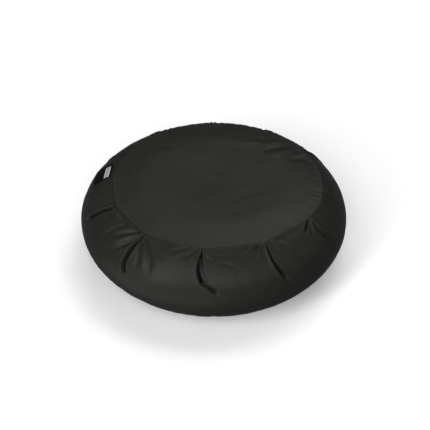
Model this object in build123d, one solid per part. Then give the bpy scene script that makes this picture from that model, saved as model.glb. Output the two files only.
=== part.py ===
from build123d import *

import os
from math import cos, radians, sin

# A soft cover for a spare wheel, in the shape that it holds when it is fitted and laid face up.
# A round face panel is sewn to a side band made of two halves. The band bulges round the tread,
# turns under at the back and ends in a tape casing that holds a ring of flat elastic. Every raw
# edge inside is wrapped in binding tape. A folded label is caught in the left join of the band.
#
# Frame: +Z up through the wheel's axis, the hem lies on Z = 0, the face panel is on top, -Y is
# the front and -X is the side that carries the label. Units are millimetres and degrees.

# Driving dimensions of the side band's bulge. An angle is that of the band's outward normal
# above the horizontal.
OUTER_RADIUS = 370.0
CROWN_RADIUS = 98.4
CROWN_ANGLE = 32.0
SHOULDER_RADIUS = 208.0
SHOULDER_ANGLE = 55.2
SEAM_ROLL_RADIUS = 4.0
LOWER_TURN_RADIUS = 12.0

# Sheet goods.
FABRIC = 1.2
TAPE = 0.7
THREAD = 0.5
EASE = 0.2

# Sewn edges.
SEAM_ALLOWANCE = 11.8
JOIN_ALLOWANCE = 10.0
JOIN_TOP_ANGLE = 50.0
RIGHT_JOIN_ANGLE = 0.0
LEFT_JOIN_ANGLE = 175.5
FULL_TURN = 360.0

# Hem: a tape folded round the band's edge and round the elastic.
HEM_RADIUS = 240.0
HEM_WIDTH = 28.0
HEM_TAPE = 1.0
HEM_CAVITY = 2.8
HEM_OVERLAP = 6.0
ELASTIC_WIDTH = 15.0
ELASTIC_THICKNESS = 1.0
ELASTIC_LAP_ANGLE = 7.0
BARTACK_COUNT = 3
BARTACK_LENGTH = 11.0
BARTACK_WIDTH = 1.2

# Side label: a woven ribbon folded in two, turning about the rolled edge where it is sewn in.
LABEL_WIDTH = 50.0
LABEL_LENGTH = 62.0
LABEL_LEAF = 0.4
LABEL_GAP = 0.3
LABEL_ROLL_RADIUS = 0.9
LABEL_STANDOFF = 0.7
LABEL_LEAN = 3.0
LABEL_NORMAL_ANGLE = 45.7

# Worked out from the driving dimensions.
HEM_HEIGHT = 2 * HEM_TAPE + HEM_CAVITY
BAND_BOTTOM = HEM_TAPE + EASE


def polar(centre, radius, angle):
    """The point at that radius and angle round a centre, all in the (radius, height) plane."""
    return centre[0] + radius * cos(radians(angle)), centre[1] + radius * sin(radians(angle))


def band_arcs():
    """The band's outer curve from its top edge down, as (centre, radius, first angle, last angle)."""
    reach = SHOULDER_RADIUS - CROWN_RADIUS
    drop = (SHOULDER_RADIUS - LOWER_TURN_RADIUS) * sin(radians(SHOULDER_ANGLE)) + LOWER_TURN_RADIUS
    mid_height = BAND_BOTTOM + drop - reach * sin(radians(CROWN_ANGLE))
    crown = (OUTER_RADIUS - CROWN_RADIUS, mid_height)
    upper = polar(crown, -reach, CROWN_ANGLE)
    lower = polar(crown, -reach, -CROWN_ANGLE)
    roll = polar(upper, SHOULDER_RADIUS - SEAM_ROLL_RADIUS, SHOULDER_ANGLE)
    turn = polar(lower, SHOULDER_RADIUS - LOWER_TURN_RADIUS, -SHOULDER_ANGLE)
    return [
        (roll, SEAM_ROLL_RADIUS, 180.0, SHOULDER_ANGLE),
        (upper, SHOULDER_RADIUS, SHOULDER_ANGLE, CROWN_ANGLE),
        (crown, CROWN_RADIUS, CROWN_ANGLE, -CROWN_ANGLE),
        (lower, SHOULDER_RADIUS, -CROWN_ANGLE, -SHOULDER_ANGLE),
        (turn, LOWER_TURN_RADIUS, -SHOULDER_ANGLE, -90.0),
    ]


ROLL_CENTRE = band_arcs()[0][0]
TOP_HEIGHT = ROLL_CENTRE[1] + SEAM_ROLL_RADIUS
BAND_EDGE_RADIUS = ROLL_CENTRE[0] - SEAM_ROLL_RADIUS
FACE_RADIUS = BAND_EDGE_RADIUS - EASE
ALLOWANCE_BOTTOM = ROLL_CENTRE[1] - SEAM_ALLOWANCE
CASING_OUTER_RADIUS = HEM_RADIUS + HEM_WIDTH


def in_section(point):
    """A (radius, height) point as a 3-D point in the half plane Y = 0, X > 0."""
    return Vector(point[0], 0, point[1])


def line(start, end):
    """A straight edge between two (radius, height) points."""
    return Line(in_section(start), in_section(end))


def arc(centre, radius, first, last):
    """A round edge between two angles about a (radius, height) centre."""
    angles = (first, (first + last) / 2, last)
    return ThreePointArc(*[in_section(polar(centre, radius, angle)) for angle in angles])


def face_of(edges):
    """The flat face inside a closed run of edges."""
    return make_face(Wire(Wire.combine(edges)[0].edges()))


def rectangle(inner, outer, bottom, top):
    """A rectangle in the section plane, from radius inner to outer and height bottom to top."""
    corners = [(inner, bottom), (outer, bottom), (outer, top), (inner, top)]
    return face_of([line(a, b) for a, b in zip(corners, corners[1:] + corners[:1])])


def spun(face, sweep=FULL_TURN, start=0.0):
    """A section face turned about the wheel's axis by sweep, beginning at the angle start."""
    return Rot(0, 0, start) * revolve(face, axis=Axis.Z, revolution_arc=sweep)


def band_section():
    """The side band's whole section: seam allowance, roll, bulge, lower turn and flat hem edge."""
    arcs = band_arcs()
    hem_edge = CASING_OUTER_RADIUS - HEM_OVERLAP
    sides = []
    for inset in (0.0, FABRIC):
        curve = [arc(centre, radius - inset, first, last) for centre, radius, first, last in arcs]
        top = polar(ROLL_CENTRE, SEAM_ROLL_RADIUS - inset, 180.0)
        bottom = polar(arcs[-1][0], LOWER_TURN_RADIUS - inset, -90.0)
        top_end = (top[0], ALLOWANCE_BOTTOM)
        bottom_end = (hem_edge, bottom[1])
        sides.append((top_end, bottom_end, [line(top_end, top), *curve, line(bottom, bottom_end)]))
    (top_out, bottom_out, outside), (top_in, bottom_in, inside) = sides
    return face_of([*outside, line(bottom_out, bottom_in), *inside, line(top_in, top_out)])


def bulge_strip(outer_inset, inner_inset):
    """The section between two insets from the bulge's outer curve, down to the lower shoulder."""
    (_, upper, crown, lower, _) = band_arcs()
    spans = [
        (upper[0], upper[1], JOIN_TOP_ANGLE, CROWN_ANGLE),
        crown,
        (lower[0], lower[1], -CROWN_ANGLE, -JOIN_TOP_ANGLE),
    ]
    edges = []
    for inset in (outer_inset, inner_inset):
        edges += [arc(centre, radius - inset, first, last) for centre, radius, first, last in spans]
    for centre, radius, angle in (
        (upper[0], upper[1], JOIN_TOP_ANGLE),
        (lower[0], lower[1], -JOIN_TOP_ANGLE),
    ):
        ends = [polar(centre, radius - inset, angle) for inset in (outer_inset, inner_inset)]
        edges.append(line(*ends))
    return face_of(edges)


def join_plate(outer_inset, inner_inset, near, far):
    """A plate that follows the bulge inside a join, from near to far across the join's plane."""
    plate = extrude(bulge_strip(outer_inset, inner_inset), amount=far - near, dir=(0, 1, 0))
    return Pos(0, near, 0) * plate


def face_panel():
    """The round panel, with its edge turned down as the seam allowance."""
    corner = (FACE_RADIUS - SEAM_ROLL_RADIUS, TOP_HEIGHT - SEAM_ROLL_RADIUS)
    sides = []
    for inset in (0.0, FABRIC):
        radius = SEAM_ROLL_RADIUS - inset
        middle = (0.0, TOP_HEIGHT - inset)
        foot = (FACE_RADIUS - inset, ALLOWANCE_BOTTOM)
        turn = arc(corner, radius, 90.0, 0.0)
        flat = line(middle, (corner[0], TOP_HEIGHT - inset))
        flange = line((FACE_RADIUS - inset, corner[1]), foot)
        sides.append((middle, foot, [flat, turn, flange]))
    (middle_out, foot_out, outside), (middle_in, foot_in, inside) = sides
    return spun(face_of([*outside, line(foot_out, foot_in), *inside, line(middle_in, middle_out)]))


def side_band(start, sweep):
    """One half of the side band, with the allowances of its two joins turned inwards."""
    band = spun(band_section(), sweep, start)
    allowance = (FABRIC / 2, FABRIC + JOIN_ALLOWANCE)
    first = Rot(0, 0, start) * join_plate(*allowance, EASE / 2, EASE / 2 + FABRIC)
    last = Rot(0, 0, start + sweep) * join_plate(*allowance, -EASE / 2 - FABRIC, -EASE / 2)
    gap = Box(OUTER_RADIUS, EASE, TOP_HEIGHT, align=(Align.MIN, Align.CENTER, Align.MIN))
    half = band + first + last
    for angle in (start, start + sweep):
        half -= Rot(0, 0, angle) * Pos(HEM_RADIUS, 0, 0) * gap
    return half


def face_seam_binding():
    """Tape folded up round the two seam allowances under the face panel's edge."""
    inner = FACE_RADIUS - FABRIC - EASE
    outer = BAND_EDGE_RADIUS + FABRIC + EASE
    floor = ALLOWANCE_BOTTOM - EASE
    rise = 0.7 * SEAM_ALLOWANCE
    channel = (
        rectangle(inner - TAPE, inner, floor - TAPE, floor + rise)
        + rectangle(outer, outer + TAPE, floor - TAPE, floor + rise)
        + rectangle(inner - TAPE, outer + TAPE, floor - TAPE, floor)
    )
    return spun(channel)


def face_seam_thread():
    """The two sides of the stitch line through the face seam's allowances and binding."""
    inner = FACE_RADIUS - FABRIC - EASE - TAPE
    outer = BAND_EDGE_RADIUS + FABRIC + EASE + TAPE
    height = ALLOWANCE_BOTTOM + SEAM_ALLOWANCE / 3
    return Compound(
        [
            spun(rectangle(inner - THREAD, inner, height, height + THREAD)).solid(),
            spun(rectangle(outer, outer + THREAD, height, height + THREAD)).solid(),
        ]
    )


def join_binding(angle):
    """Tape folded round the two allowances of one join of the side band."""
    leg = EASE / 2 + FABRIC + EASE
    web = FABRIC + JOIN_ALLOWANCE + EASE
    channel = (
        join_plate(web, web + TAPE, -leg - TAPE, leg + TAPE)
        + join_plate(web - 0.7 * JOIN_ALLOWANCE, web, leg, leg + TAPE)
        + join_plate(web - 0.7 * JOIN_ALLOWANCE, web, -leg - TAPE, -leg)
    )
    return Rot(0, 0, angle) * channel


def join_thread(angle):
    """The two sides of the stitch line through one join's allowances and binding."""
    side = EASE / 2 + FABRIC + EASE + TAPE
    depth = FABRIC + JOIN_ALLOWANCE / 2
    rows = [
        join_plate(depth, depth + THREAD, side, side + THREAD),
        join_plate(depth, depth + THREAD, -side - THREAD, -side),
    ]
    return Compound([(Rot(0, 0, angle) * row).solid() for row in rows])


def hem_casing():
    """The hem tape, folded with its closed edge at the mouth and its lips round the band's edge."""
    casing = (
        rectangle(HEM_RADIUS, CASING_OUTER_RADIUS, 0, HEM_TAPE)
        + rectangle(HEM_RADIUS, CASING_OUTER_RADIUS, HEM_HEIGHT - HEM_TAPE, HEM_HEIGHT)
        + rectangle(HEM_RADIUS, HEM_RADIUS + HEM_TAPE, 0, HEM_HEIGHT)
    )
    return spun(casing)


def elastic_section(layer):
    """The elastic's section, one thickness up for each layer."""
    inner = HEM_RADIUS + HEM_TAPE + ELASTIC_THICKNESS
    bottom = HEM_TAPE + EASE + layer * ELASTIC_THICKNESS
    return rectangle(inner, inner + ELASTIC_WIDTH, bottom, bottom + ELASTIC_THICKNESS)


def hem_elastic():
    """The ring of flat elastic, with one end lapped over the other at the right join."""
    return spun(elastic_section(0)) + spun(elastic_section(1), ELASTIC_LAP_ANGLE)


def elastic_bartacks():
    """Dense thread bars that hold the elastic's lapped ends together."""
    radius = HEM_RADIUS + HEM_TAPE + ELASTIC_THICKNESS + ELASTIC_WIDTH / 2
    bottom = HEM_TAPE + EASE + 2 * ELASTIC_THICKNESS
    bar = Box(BARTACK_LENGTH, BARTACK_WIDTH, THREAD, align=(Align.CENTER, Align.CENTER, Align.MIN))
    step = ELASTIC_LAP_ANGLE / (BARTACK_COUNT + 1)
    bars = [Rot(0, 0, step * (n + 1)) * Pos(radius, 0, bottom) * bar for n in range(BARTACK_COUNT)]
    return Compound([each.solid() for each in bars])


def hem_thread():
    """The stitch line that closes the casing on the band's edge."""
    radius = CASING_OUTER_RADIUS - HEM_OVERLAP / 2
    return spun(rectangle(radius, radius + THREAD, HEM_HEIGHT, HEM_HEIGHT + THREAD))


def side_label():
    """The folded label, lying back over the rear half of the band from the left join."""
    upper = band_arcs()[1]
    foot = polar(upper[0], upper[1] + LABEL_ROLL_RADIUS + LABEL_STANDOFF, LABEL_NORMAL_ANGLE)
    leaf = Box(LABEL_LENGTH, LABEL_WIDTH, LABEL_LEAF, align=(Align.MIN, Align.CENTER, Align.CENTER))
    offset = (LABEL_GAP + LABEL_LEAF) / 2
    fold = Box(LABEL_LEAF, LABEL_WIDTH, LABEL_GAP, align=(Align.MAX, Align.CENTER, Align.CENTER))
    label = (
        Rot(90, 0, 0) * Cylinder(LABEL_ROLL_RADIUS, LABEL_WIDTH)
        + Pos(0, 0, offset) * leaf
        + Pos(0, 0, -offset) * leaf
        + Pos(LABEL_LENGTH, 0, 0) * fold
    )
    # The label's X runs back round the band, leaning in to follow its curve, and its Z is outward.
    outward = Vector(cos(radians(LABEL_NORMAL_ANGLE)), 0, sin(radians(LABEL_NORMAL_ANGLE)))
    place = Plane(origin=in_section(foot), x_dir=(0, -1, 0), z_dir=outward)
    return Rot(0, 0, LEFT_JOIN_ANGLE) * place.location * Rot(0, LABEL_LEAN, 0) * label


PIECES = {
    "face_panel": face_panel(),
    "side_band_rear": side_band(RIGHT_JOIN_ANGLE, LEFT_JOIN_ANGLE - RIGHT_JOIN_ANGLE),
    "side_band_front": side_band(LEFT_JOIN_ANGLE, FULL_TURN + RIGHT_JOIN_ANGLE - LEFT_JOIN_ANGLE),
    "face_seam_binding": face_seam_binding(),
    "face_seam_thread": face_seam_thread(),
    "right_join_binding": join_binding(RIGHT_JOIN_ANGLE),
    "right_join_thread": join_thread(RIGHT_JOIN_ANGLE),
    "left_join_binding": join_binding(LEFT_JOIN_ANGLE),
    "left_join_thread": join_thread(LEFT_JOIN_ANGLE),
    "hem_casing": hem_casing(),
    "hem_thread": hem_thread(),
    "hem_elastic": hem_elastic(),
    "elastic_bartacks": elastic_bartacks(),
    "side_label": side_label(),
}

os.makedirs("parts", exist_ok=True)
for name, piece in PIECES.items():
    export_step(piece, f"parts/{name}.step")
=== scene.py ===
"""Looks of a soft cover for a spare wheel: folded cloth, tape, elastic, stitches and a woven label.

The cover lies face up. Angles run anticlockwise from +X, seen from above, so the front is at 270
degrees, the right join at 0 and the left join, with the label, near 175. Lengths are in metres,
and the folds of the side band are listed in degrees and millimetres, as a maker would mark them.
"""

import logging
import math
from dataclasses import dataclass, field, replace
from enum import Enum
from typing import Callable, Sequence

import bpy
import numpy as np
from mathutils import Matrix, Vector

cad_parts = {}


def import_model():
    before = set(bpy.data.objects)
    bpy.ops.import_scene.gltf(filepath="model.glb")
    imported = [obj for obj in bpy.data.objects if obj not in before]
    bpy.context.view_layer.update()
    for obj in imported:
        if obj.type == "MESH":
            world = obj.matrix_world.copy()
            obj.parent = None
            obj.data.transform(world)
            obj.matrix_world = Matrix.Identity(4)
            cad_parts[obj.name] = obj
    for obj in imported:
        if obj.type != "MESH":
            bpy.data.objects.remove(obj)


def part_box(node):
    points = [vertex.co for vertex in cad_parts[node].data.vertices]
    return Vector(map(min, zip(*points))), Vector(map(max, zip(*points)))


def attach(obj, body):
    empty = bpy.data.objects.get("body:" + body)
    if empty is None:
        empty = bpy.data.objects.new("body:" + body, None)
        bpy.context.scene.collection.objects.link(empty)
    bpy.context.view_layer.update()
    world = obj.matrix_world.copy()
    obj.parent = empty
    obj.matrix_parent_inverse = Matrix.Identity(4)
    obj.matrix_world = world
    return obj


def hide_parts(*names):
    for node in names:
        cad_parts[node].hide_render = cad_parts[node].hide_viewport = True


LOG = logging.getLogger("cover")
MM = 0.001
TURN = 360.0
ROUND = 5.2  # millimetres round the band for each degree, for patterns that repeat

Point = tuple[float, float]
Array = np.ndarray
Piece = bpy.types.Object
Material = bpy.types.Material
Tree = bpy.types.NodeTree
Socket = bpy.types.NodeSocket


class Body(Enum):
    """The rigid bodies that the pieces ride on."""

    COVER = "cover"
    LABEL = "label"


# --- Small tools ---


def ramp(value: Array) -> Array:
    """A smooth step from 0 at 0 to 1 at 1."""
    t = np.clip(value, 0.0, 1.0)
    return t * t * t * (10.0 - 15.0 * t + 6.0 * t * t)


def bell(value: Array) -> Array:
    """A round bump, 1 at 0 and nearly 0 past 2."""
    return np.exp(-value * value)


def unit(vectors: Array) -> Array:
    """The same vectors at length 1."""
    return vectors / np.maximum(np.linalg.norm(vectors, axis=-1, keepdims=True), 1e-12)


def ring(angle: Array, radius: Array | float, height: Array | float) -> Array:
    """Points round the vertical axis.

    Args:
        angle: their angles, in degrees.
        radius: their distances from the axis.
        height: their heights.

    Returns:
        One point for each angle.
    """
    turned = np.radians(angle)
    x, y = radius * np.cos(turned), radius * np.sin(turned)
    return np.stack([x, y, height + np.zeros_like(x)], axis=-1)


def radius_of(points: Array) -> Array:
    """Each point's distance from the vertical axis."""
    return np.hypot(points[..., 0], points[..., 1])


def bearing(points: Array) -> Array:
    """Each point's angle round the vertical axis, in degrees."""
    return np.degrees(np.arctan2(points[..., 1], points[..., 0]))


def span(marks: Sequence[float], angle: Array) -> tuple[Array, Array, Array]:
    """Which stretch between marks each angle falls in, all the way round.

    Args:
        marks: angles in degrees, in order, from 0 up to a full turn.
        angle: the angles to place.

    Returns:
        The number of the stretch, counted from the one that ends at the first mark, its length
        in degrees, and the share of it that lies behind the angle.
    """
    marks = np.array([marks[-1] - TURN, *marks, marks[0] + TURN])
    turned = np.mod(angle, TURN)
    i = np.clip(np.searchsorted(marks, turned, side="right") - 1, 0, len(marks) - 2)
    gap = marks[i + 1] - marks[i]
    return i, gap, (turned - marks[i]) / gap


def smooth_line(points: Sequence[Point], pieces: int = 7) -> Array:
    """A smooth line through all the points.

    Args:
        points: the points, two or more.
        pieces: how many straight pieces stand for each stretch between two points.

    Returns:
        The line's points, one per row.
    """
    knots = np.array(points, float)
    knots = np.vstack([2 * knots[0] - knots[1], knots, 2 * knots[-1] - knots[-2]])
    t = np.linspace(0.0, 1.0, pieces, endpoint=False)[:, None]
    runs = []
    for a, b, c, d in zip(knots, knots[1:], knots[2:], knots[3:]):
        runs.append(
            0.5 * (2 * b + (c - a) * t + (2 * a - 5 * b + 4 * c - d) * t**2 + (3 * b - a - 3 * c + d) * t**3)
        )
    return np.vstack([*runs, knots[-2][None]])


def drift(u: Array, v: Array, cell: Point, seed: int, period: float | None = None) -> Array:
    """Smooth random values between -1 and 1 over a flat surface.

    Args:
        u: first coordinate.
        v: second coordinate.
        cell: the size of one random cell along u and v.
        seed: picks the pattern.
        period: the length along u after which the pattern repeats, if it does.

    Returns:
        One value for each point.
    """
    size = 256
    turns = np.random.default_rng(seed).uniform(0.0, math.tau, (size, size))
    gu, gv = u / cell[0], v / cell[1]
    iu, iv = np.floor(gu).astype(int), np.floor(gv).astype(int)
    wrap = size if period is None else max(1, round(period / cell[0]))
    fu, fv = gu - iu, gv - iv

    def slope(du: int, dv: int) -> Array:
        """The value that one corner of each cell gives."""
        turn = turns[(iu + du) % wrap % size, (iv + dv) % size]
        return np.cos(turn) * (fu - du) + np.sin(turn) * (fv - dv)

    su, sv = ramp(fu), ramp(fv)
    low = slope(0, 0) * (1 - su) + slope(1, 0) * su
    high = slope(0, 1) * (1 - su) + slope(1, 1) * su
    return 1.5 * (low * (1 - sv) + high * sv)


# --- Folds ---


@dataclass(frozen=True)
class Fold:
    """A groove or a ridge pressed into a sheet along a line.

    Attributes:
        path: the line's points, in the sheet's flat coordinates.
        depth: depth of the groove at its start and end; a ridge has negative depths.
        width: half width at its start and end.
        lips: heights of the raised edges on the left and right of the line.
        spread: width of each raised edge, in half widths of the groove.
        tuck: how far the raised edges lean over the groove.
        fade: the parts of the length over which it begins and ends.
    """

    path: tuple[Point, ...]
    depth: Point
    width: Point
    lips: Point = (0.0, 0.0)
    spread: float = 1.0
    tuck: float = 0.0
    fade: Point = (0.08, 0.35)

    def press(self, x: Array, y: Array) -> tuple[Array, Array, Array, Array]:
        """How the fold moves the points of a sheet.

        Args:
            x: first flat coordinate of each point.
            y: second flat coordinate of each point.

        Returns:
            Which points it moves, and for those the rise and the shifts along x and y.
        """
        line = smooth_line(self.path)
        reach = max(self.width) * (2.6 + 2.2 * self.spread)
        low, high = line.min(0) - reach, line.max(0) + reach
        near = (x > low[0]) & (x < high[0]) & (y > low[1]) & (y < high[1])
        px, py = x[near], y[near]
        best = np.full(px.shape, np.inf)
        along, right = np.zeros_like(px), np.zeros_like(px)
        across = np.zeros((2,) + px.shape)
        for k, (start, end) in enumerate(zip(line, line[1:])):
            run = end - start
            length = max(float(run @ run), 1e-12)
            t = np.clip(((px - start[0]) * run[0] + (py - start[1]) * run[1]) / length, 0.0, 1.0)
            dx, dy = px - start[0] - t * run[0], py - start[1] - t * run[1]
            gap = dx * dx + dy * dy
            nearer = gap < best
            best = np.where(nearer, gap, best)
            along = np.where(nearer, k + t, along)
            across = np.where(nearer, np.stack([dx, dy]), across)
            right = np.where(nearer, run[0] * dy - run[1] * dx, right)
        distance = np.sqrt(best)
        along = along / (len(line) - 1)
        width = self.width[0] + (self.width[1] - self.width[0]) * along
        depth = self.depth[0] + (self.depth[1] - self.depth[0]) * along
        strength = ramp(along / self.fade[0]) if self.fade[0] > 0 else np.ones_like(along)
        strength = strength * ramp((1.0 - along) / max(self.fade[1], 1e-3))
        u = distance / width
        lip = np.where(right < 0, self.lips[0], self.lips[1])
        edge = bell((u - 1.0 - 0.8 * self.spread) / (0.9 * self.spread))
        rise = strength * (-depth * bell(1.05 * u) + lip * edge)
        lean = strength * self.tuck * bell((u - 1.3) / 0.75)
        away = across / np.maximum(distance, 1e-9)
        return near, rise, -lean * away[0], -lean * away[1]


@dataclass
class Relief:
    """The rise and the sideways shifts that a list of folds gives to a sheet."""

    rise: Array
    shift_x: Array
    shift_y: Array

    @classmethod
    def of(cls, folds: Sequence[Fold], x: Array, y: Array) -> "Relief":
        """Adds up the folds over the sheet's points.

        Args:
            folds: the folds.
            x: first flat coordinate of each point.
            y: second flat coordinate.

        Returns:
            What all the folds do together.
        """
        relief = cls(np.zeros_like(x), np.zeros_like(x), np.zeros_like(x))
        for fold in folds:
            near, rise, shift_x, shift_y = fold.press(x, y)
            relief.rise[near] += rise
            relief.shift_x[near] += shift_x
            relief.shift_y[near] += shift_y
        return relief


# --- The cover's shape ---


@dataclass(frozen=True)
class BandSection:
    """The side band's section: a crown between two shoulders, then the turn under to the hem.

    Distances along it are counted from the top of the upper shoulder downwards.
    """

    outer_radius: float
    bottom: float
    crown_radius: float = 98.4 * MM
    crown_half: float = math.radians(32.0)
    shoulder_radius: float = 208.0 * MM
    shoulder_half: float = math.radians(55.2)
    turn_radius: float = 12.0 * MM
    hem_edge_radius: float = 262.0 * MM

    @property
    def arcs(self) -> tuple[Point, ...]:
        """The radius of each of the section's arcs, from the top down, and the slope at its end."""
        return (
            (self.shoulder_radius, self.crown_half),
            (self.crown_radius, -self.crown_half),
            (self.shoulder_radius, -self.shoulder_half),
            (self.turn_radius, -math.pi / 2),
        )

    @property
    def widest(self) -> float:
        """Distance along the section of its widest point."""
        shoulder = self.shoulder_radius * (self.shoulder_half - self.crown_half)
        return shoulder + self.crown_radius * self.crown_half

    @property
    def turn_end(self) -> float:
        """Distance along the section at which the flat hem edge begins."""
        return 2 * self.widest + self.turn_radius * (math.pi / 2 - self.shoulder_half)

    @property
    def middle(self) -> float:
        """Height of the widest point."""
        return float(self.at(np.array(self.widest))[1])

    @property
    def length(self) -> float:
        """Length from the top of the upper shoulder to the band's lower edge."""
        return self.turn_end + float(self.at(np.array(self.turn_end))[0]) - self.hem_edge_radius

    def walk(self, s: Array) -> tuple[Array, Array]:
        """How far the section has gone from its top.

        Args:
            s: distances along the section.

        Returns:
            The two ways, outwards and upwards, for each distance.
        """
        out, up = np.zeros_like(s), np.zeros_like(s)
        slope, begun = self.shoulder_half, 0.0
        for size, end in self.arcs:
            turned = np.clip(slope - (s - begun) / size, end, slope)
            out += size * (np.cos(turned) - math.cos(slope))
            up += size * (np.sin(turned) - math.sin(slope))
            begun += size * (slope - end)
            slope = end
        return out - np.maximum(s - begun, 0.0), up

    def at(self, s: Array) -> tuple[Array, Array]:
        """The radius and the height at distances along the section."""
        widest, foot = self.walk(np.array([self.widest, self.turn_end]))
        out, up = self.walk(s)
        return self.outer_radius + out - widest[0], self.bottom + up - foot[1]


@dataclass(frozen=True)
class FaceSeam:
    """The line where the face panel meets the side band: nearly straight between its pleats.

    Attributes:
        height: height of the face panel's edge.
        centre: centre of the face panel, which sits a little to the right on the band.
        corners: angle in degrees and radius of each pleat, all the way round.
        sag: how far the line falls inside its circle, midway between pleats sag_span apart.
        sag_span: an angle in degrees.
        groove: height of the face panel's edge above the band's.
        roll: radius of the band's rolled edge.
        gap: half the space between the two layers.
        allowance: depth of the seam allowance.
    """

    height: float
    centre: Point = (7.5 * MM, -1.0 * MM)
    corners: tuple[Point, ...] = (
        *((14.0, 0.292), (29.0, 0.290), (45.0, 0.289), (60.0, 0.290), (76.0, 0.289)),
        *((91.0, 0.290), (107.0, 0.288), (123.0, 0.289), (139.0, 0.287), (153.0, 0.288)),
        *((175.5, 0.289), (202.0, 0.289), (230.0, 0.293), (262.0, 0.288), (294.8, 0.288)),
        *((326.0, 0.292), (342.0, 0.294), (358.0, 0.293)),
    )
    sag: float = 7.0 * MM
    sag_span: float = 30.0
    groove: float = 0.9 * MM
    roll: float = 1.2 * MM
    gap: float = 0.15 * MM
    allowance: float = 11.8 * MM

    def radius(self, angle: Array) -> Array:
        """Distance of the seam from the face panel's centre.

        Args:
            angle: angles in degrees.

        Returns:
            The distance for each angle.
        """
        i, gap, t = span([a for a, _ in self.corners], angle)
        radii = [r for _, r in self.corners]
        radii = np.array([radii[-1], *radii, radii[0]])
        chord = self.sag * (gap / self.sag_span) ** 2 * (1.0 - (2.0 * t - 1.0) ** 2)
        return radii[i] * (1 - t) + radii[i + 1] * t - chord

    def point(self, angle: Array, outwards: Array | float, height: Array | float) -> Array:
        """Points beside the seam, a distance outwards from it and at a height."""
        return ring(angle, self.radius(angle) + outwards, height) + np.array([*self.centre, 0.0])


@dataclass(frozen=True)
class Gathers:
    """The small pleats that the elastic draws into the hem.

    Attributes:
        inner_radius: where they are highest.
        outer_radius: where they have died out on the flat of the back.
        count: how many there are round the mouth.
        height: how far the cloth rises between two of them.
        sway: how far it moves in and out there.
        top: height on the band above which nothing moves.
        full: height under which they are whole.
        seed: picks their places.
    """

    inner_radius: float
    outer_radius: float
    count: int = 88
    height: float = 4.5 * MM
    sway: float = 1.6 * MM
    top: float = 60.0 * MM
    full: float = 20.0 * MM
    seed: int = 11

    def lines(self) -> Array:
        """Where the pleats are, in degrees from 0 up to a full turn."""
        random = np.random.default_rng(self.seed)
        step = TURN / self.count
        return (np.arange(self.count) + 0.5 + random.uniform(-0.32, 0.32, self.count)) * step

    def ridge(self, angle: Array) -> Array:
        """The share of a ridge's height at each angle: 0 on a pleat, about 1 between two."""
        _, gap, share = span(self.lines(), angle)
        size = np.clip(gap * self.count / TURN, 0.5, 1.4)
        return size * np.sin(math.pi * share) ** 0.8

    def move(self, points: Array) -> Array:
        """Lifts points near the hem by the pleats, all at one place by the same amount.

        Args:
            points: places on or near the hem.

        Returns:
            Where the pleats take them.
        """
        radius = radius_of(points)
        fade = 1.0 - ramp((radius - self.inner_radius) / (self.outer_radius - self.inner_radius))
        fade *= ramp((self.top - points[..., 2]) / (self.top - self.full))
        ridge = self.ridge(bearing(points)) * fade
        moved = points.copy()
        moved[..., 2] += self.height * ridge
        pull = 1.0 + self.sway * (ridge - 0.5 * fade) / radius
        moved[..., :2] *= pull[..., None]
        return moved


# --- Making meshes ---


def add_object(name: str, data: bpy.types.ID) -> Piece:
    """Puts a new object in the scene: a mesh, a light or a camera."""
    thing = bpy.data.objects.new(name, data)
    bpy.context.scene.collection.objects.link(thing)
    return thing


def map_flat(mesh: bpy.types.Mesh, flat: Array) -> None:
    """Gives a mesh its flat map in metres.

    Args:
        mesh: the mesh.
        flat: one place on the flat cloth per vertex.
    """
    corners = np.empty(len(mesh.loops), np.int32)
    mesh.loops.foreach_get("vertex_index", corners)
    layer = mesh.uv_layers.new(name="cloth")
    layer.data.foreach_set("uv", flat[corners].ravel().astype(np.float32))


def mesh_piece(name: str, points: Array, faces: list[list[int]]) -> Piece:
    """Makes a smooth piece.

    Args:
        name: the piece's name.
        points: one row per vertex.
        faces: the vertex numbers of each face.

    Returns:
        The new object.
    """
    mesh = bpy.data.meshes.new(name)
    mesh.from_pydata(points.tolist(), [], faces)
    piece = add_object(name, mesh)
    mesh.shade_smooth()
    return piece


def sheet_piece(name: str, grid: Array, flat: Array) -> Piece:
    """Makes a sheet from a grid of points.

    Args:
        name: the piece's name.
        grid: the points, by row and column.
        flat: their places on the flat cloth, by row and column.

    Returns:
        The new object.
    """
    faces = grid_faces(*grid.shape[:2]).tolist()
    piece = mesh_piece(name, grid.reshape(-1, 3), faces)
    map_flat(piece.data, flat.reshape(-1, 2))
    return piece


def grid_faces(rows: int, columns: int) -> Array:
    """The quads of a grid whose vertices are numbered row by row.

    Args:
        rows: how many rows of vertices.
        columns: how many in a row.

    Returns:
        Four vertex numbers per face.
    """
    corner = np.arange((rows - 1) * (columns - 1))
    first = corner // (columns - 1) * columns + corner % (columns - 1)
    return np.stack([first, first + columns, first + columns + 1, first + 1], axis=1)


def choose(piece: Piece) -> None:
    """Makes a piece the only one selected, and the active one.

    Args:
        piece: the piece to select.
    """
    if bpy.context.object is not None and bpy.context.object.mode != "OBJECT":
        bpy.ops.object.mode_set(mode="OBJECT")
    bpy.ops.object.select_all(action="DESELECT")
    piece.select_set(True)
    bpy.context.view_layer.objects.active = piece


def thicken(piece: Piece, thickness: float) -> None:
    """Gives a sheet its thickness, on its inner side.

    Args:
        piece: the sheet.
        thickness: its thickness.
    """
    choose(piece)
    wall = piece.modifiers.new("thickness", "SOLIDIFY")
    wall.thickness = thickness
    wall.offset = -1.0
    wall.use_rim = True
    bpy.ops.object.modifier_apply(modifier=wall.name)


def vertices_of(piece: Piece) -> Array:
    """A piece's vertices, one per row."""
    flat = np.empty(len(piece.data.vertices) * 3, np.float32)
    piece.data.vertices.foreach_get("co", flat)
    return flat.reshape(-1, 3).astype(float)


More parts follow.
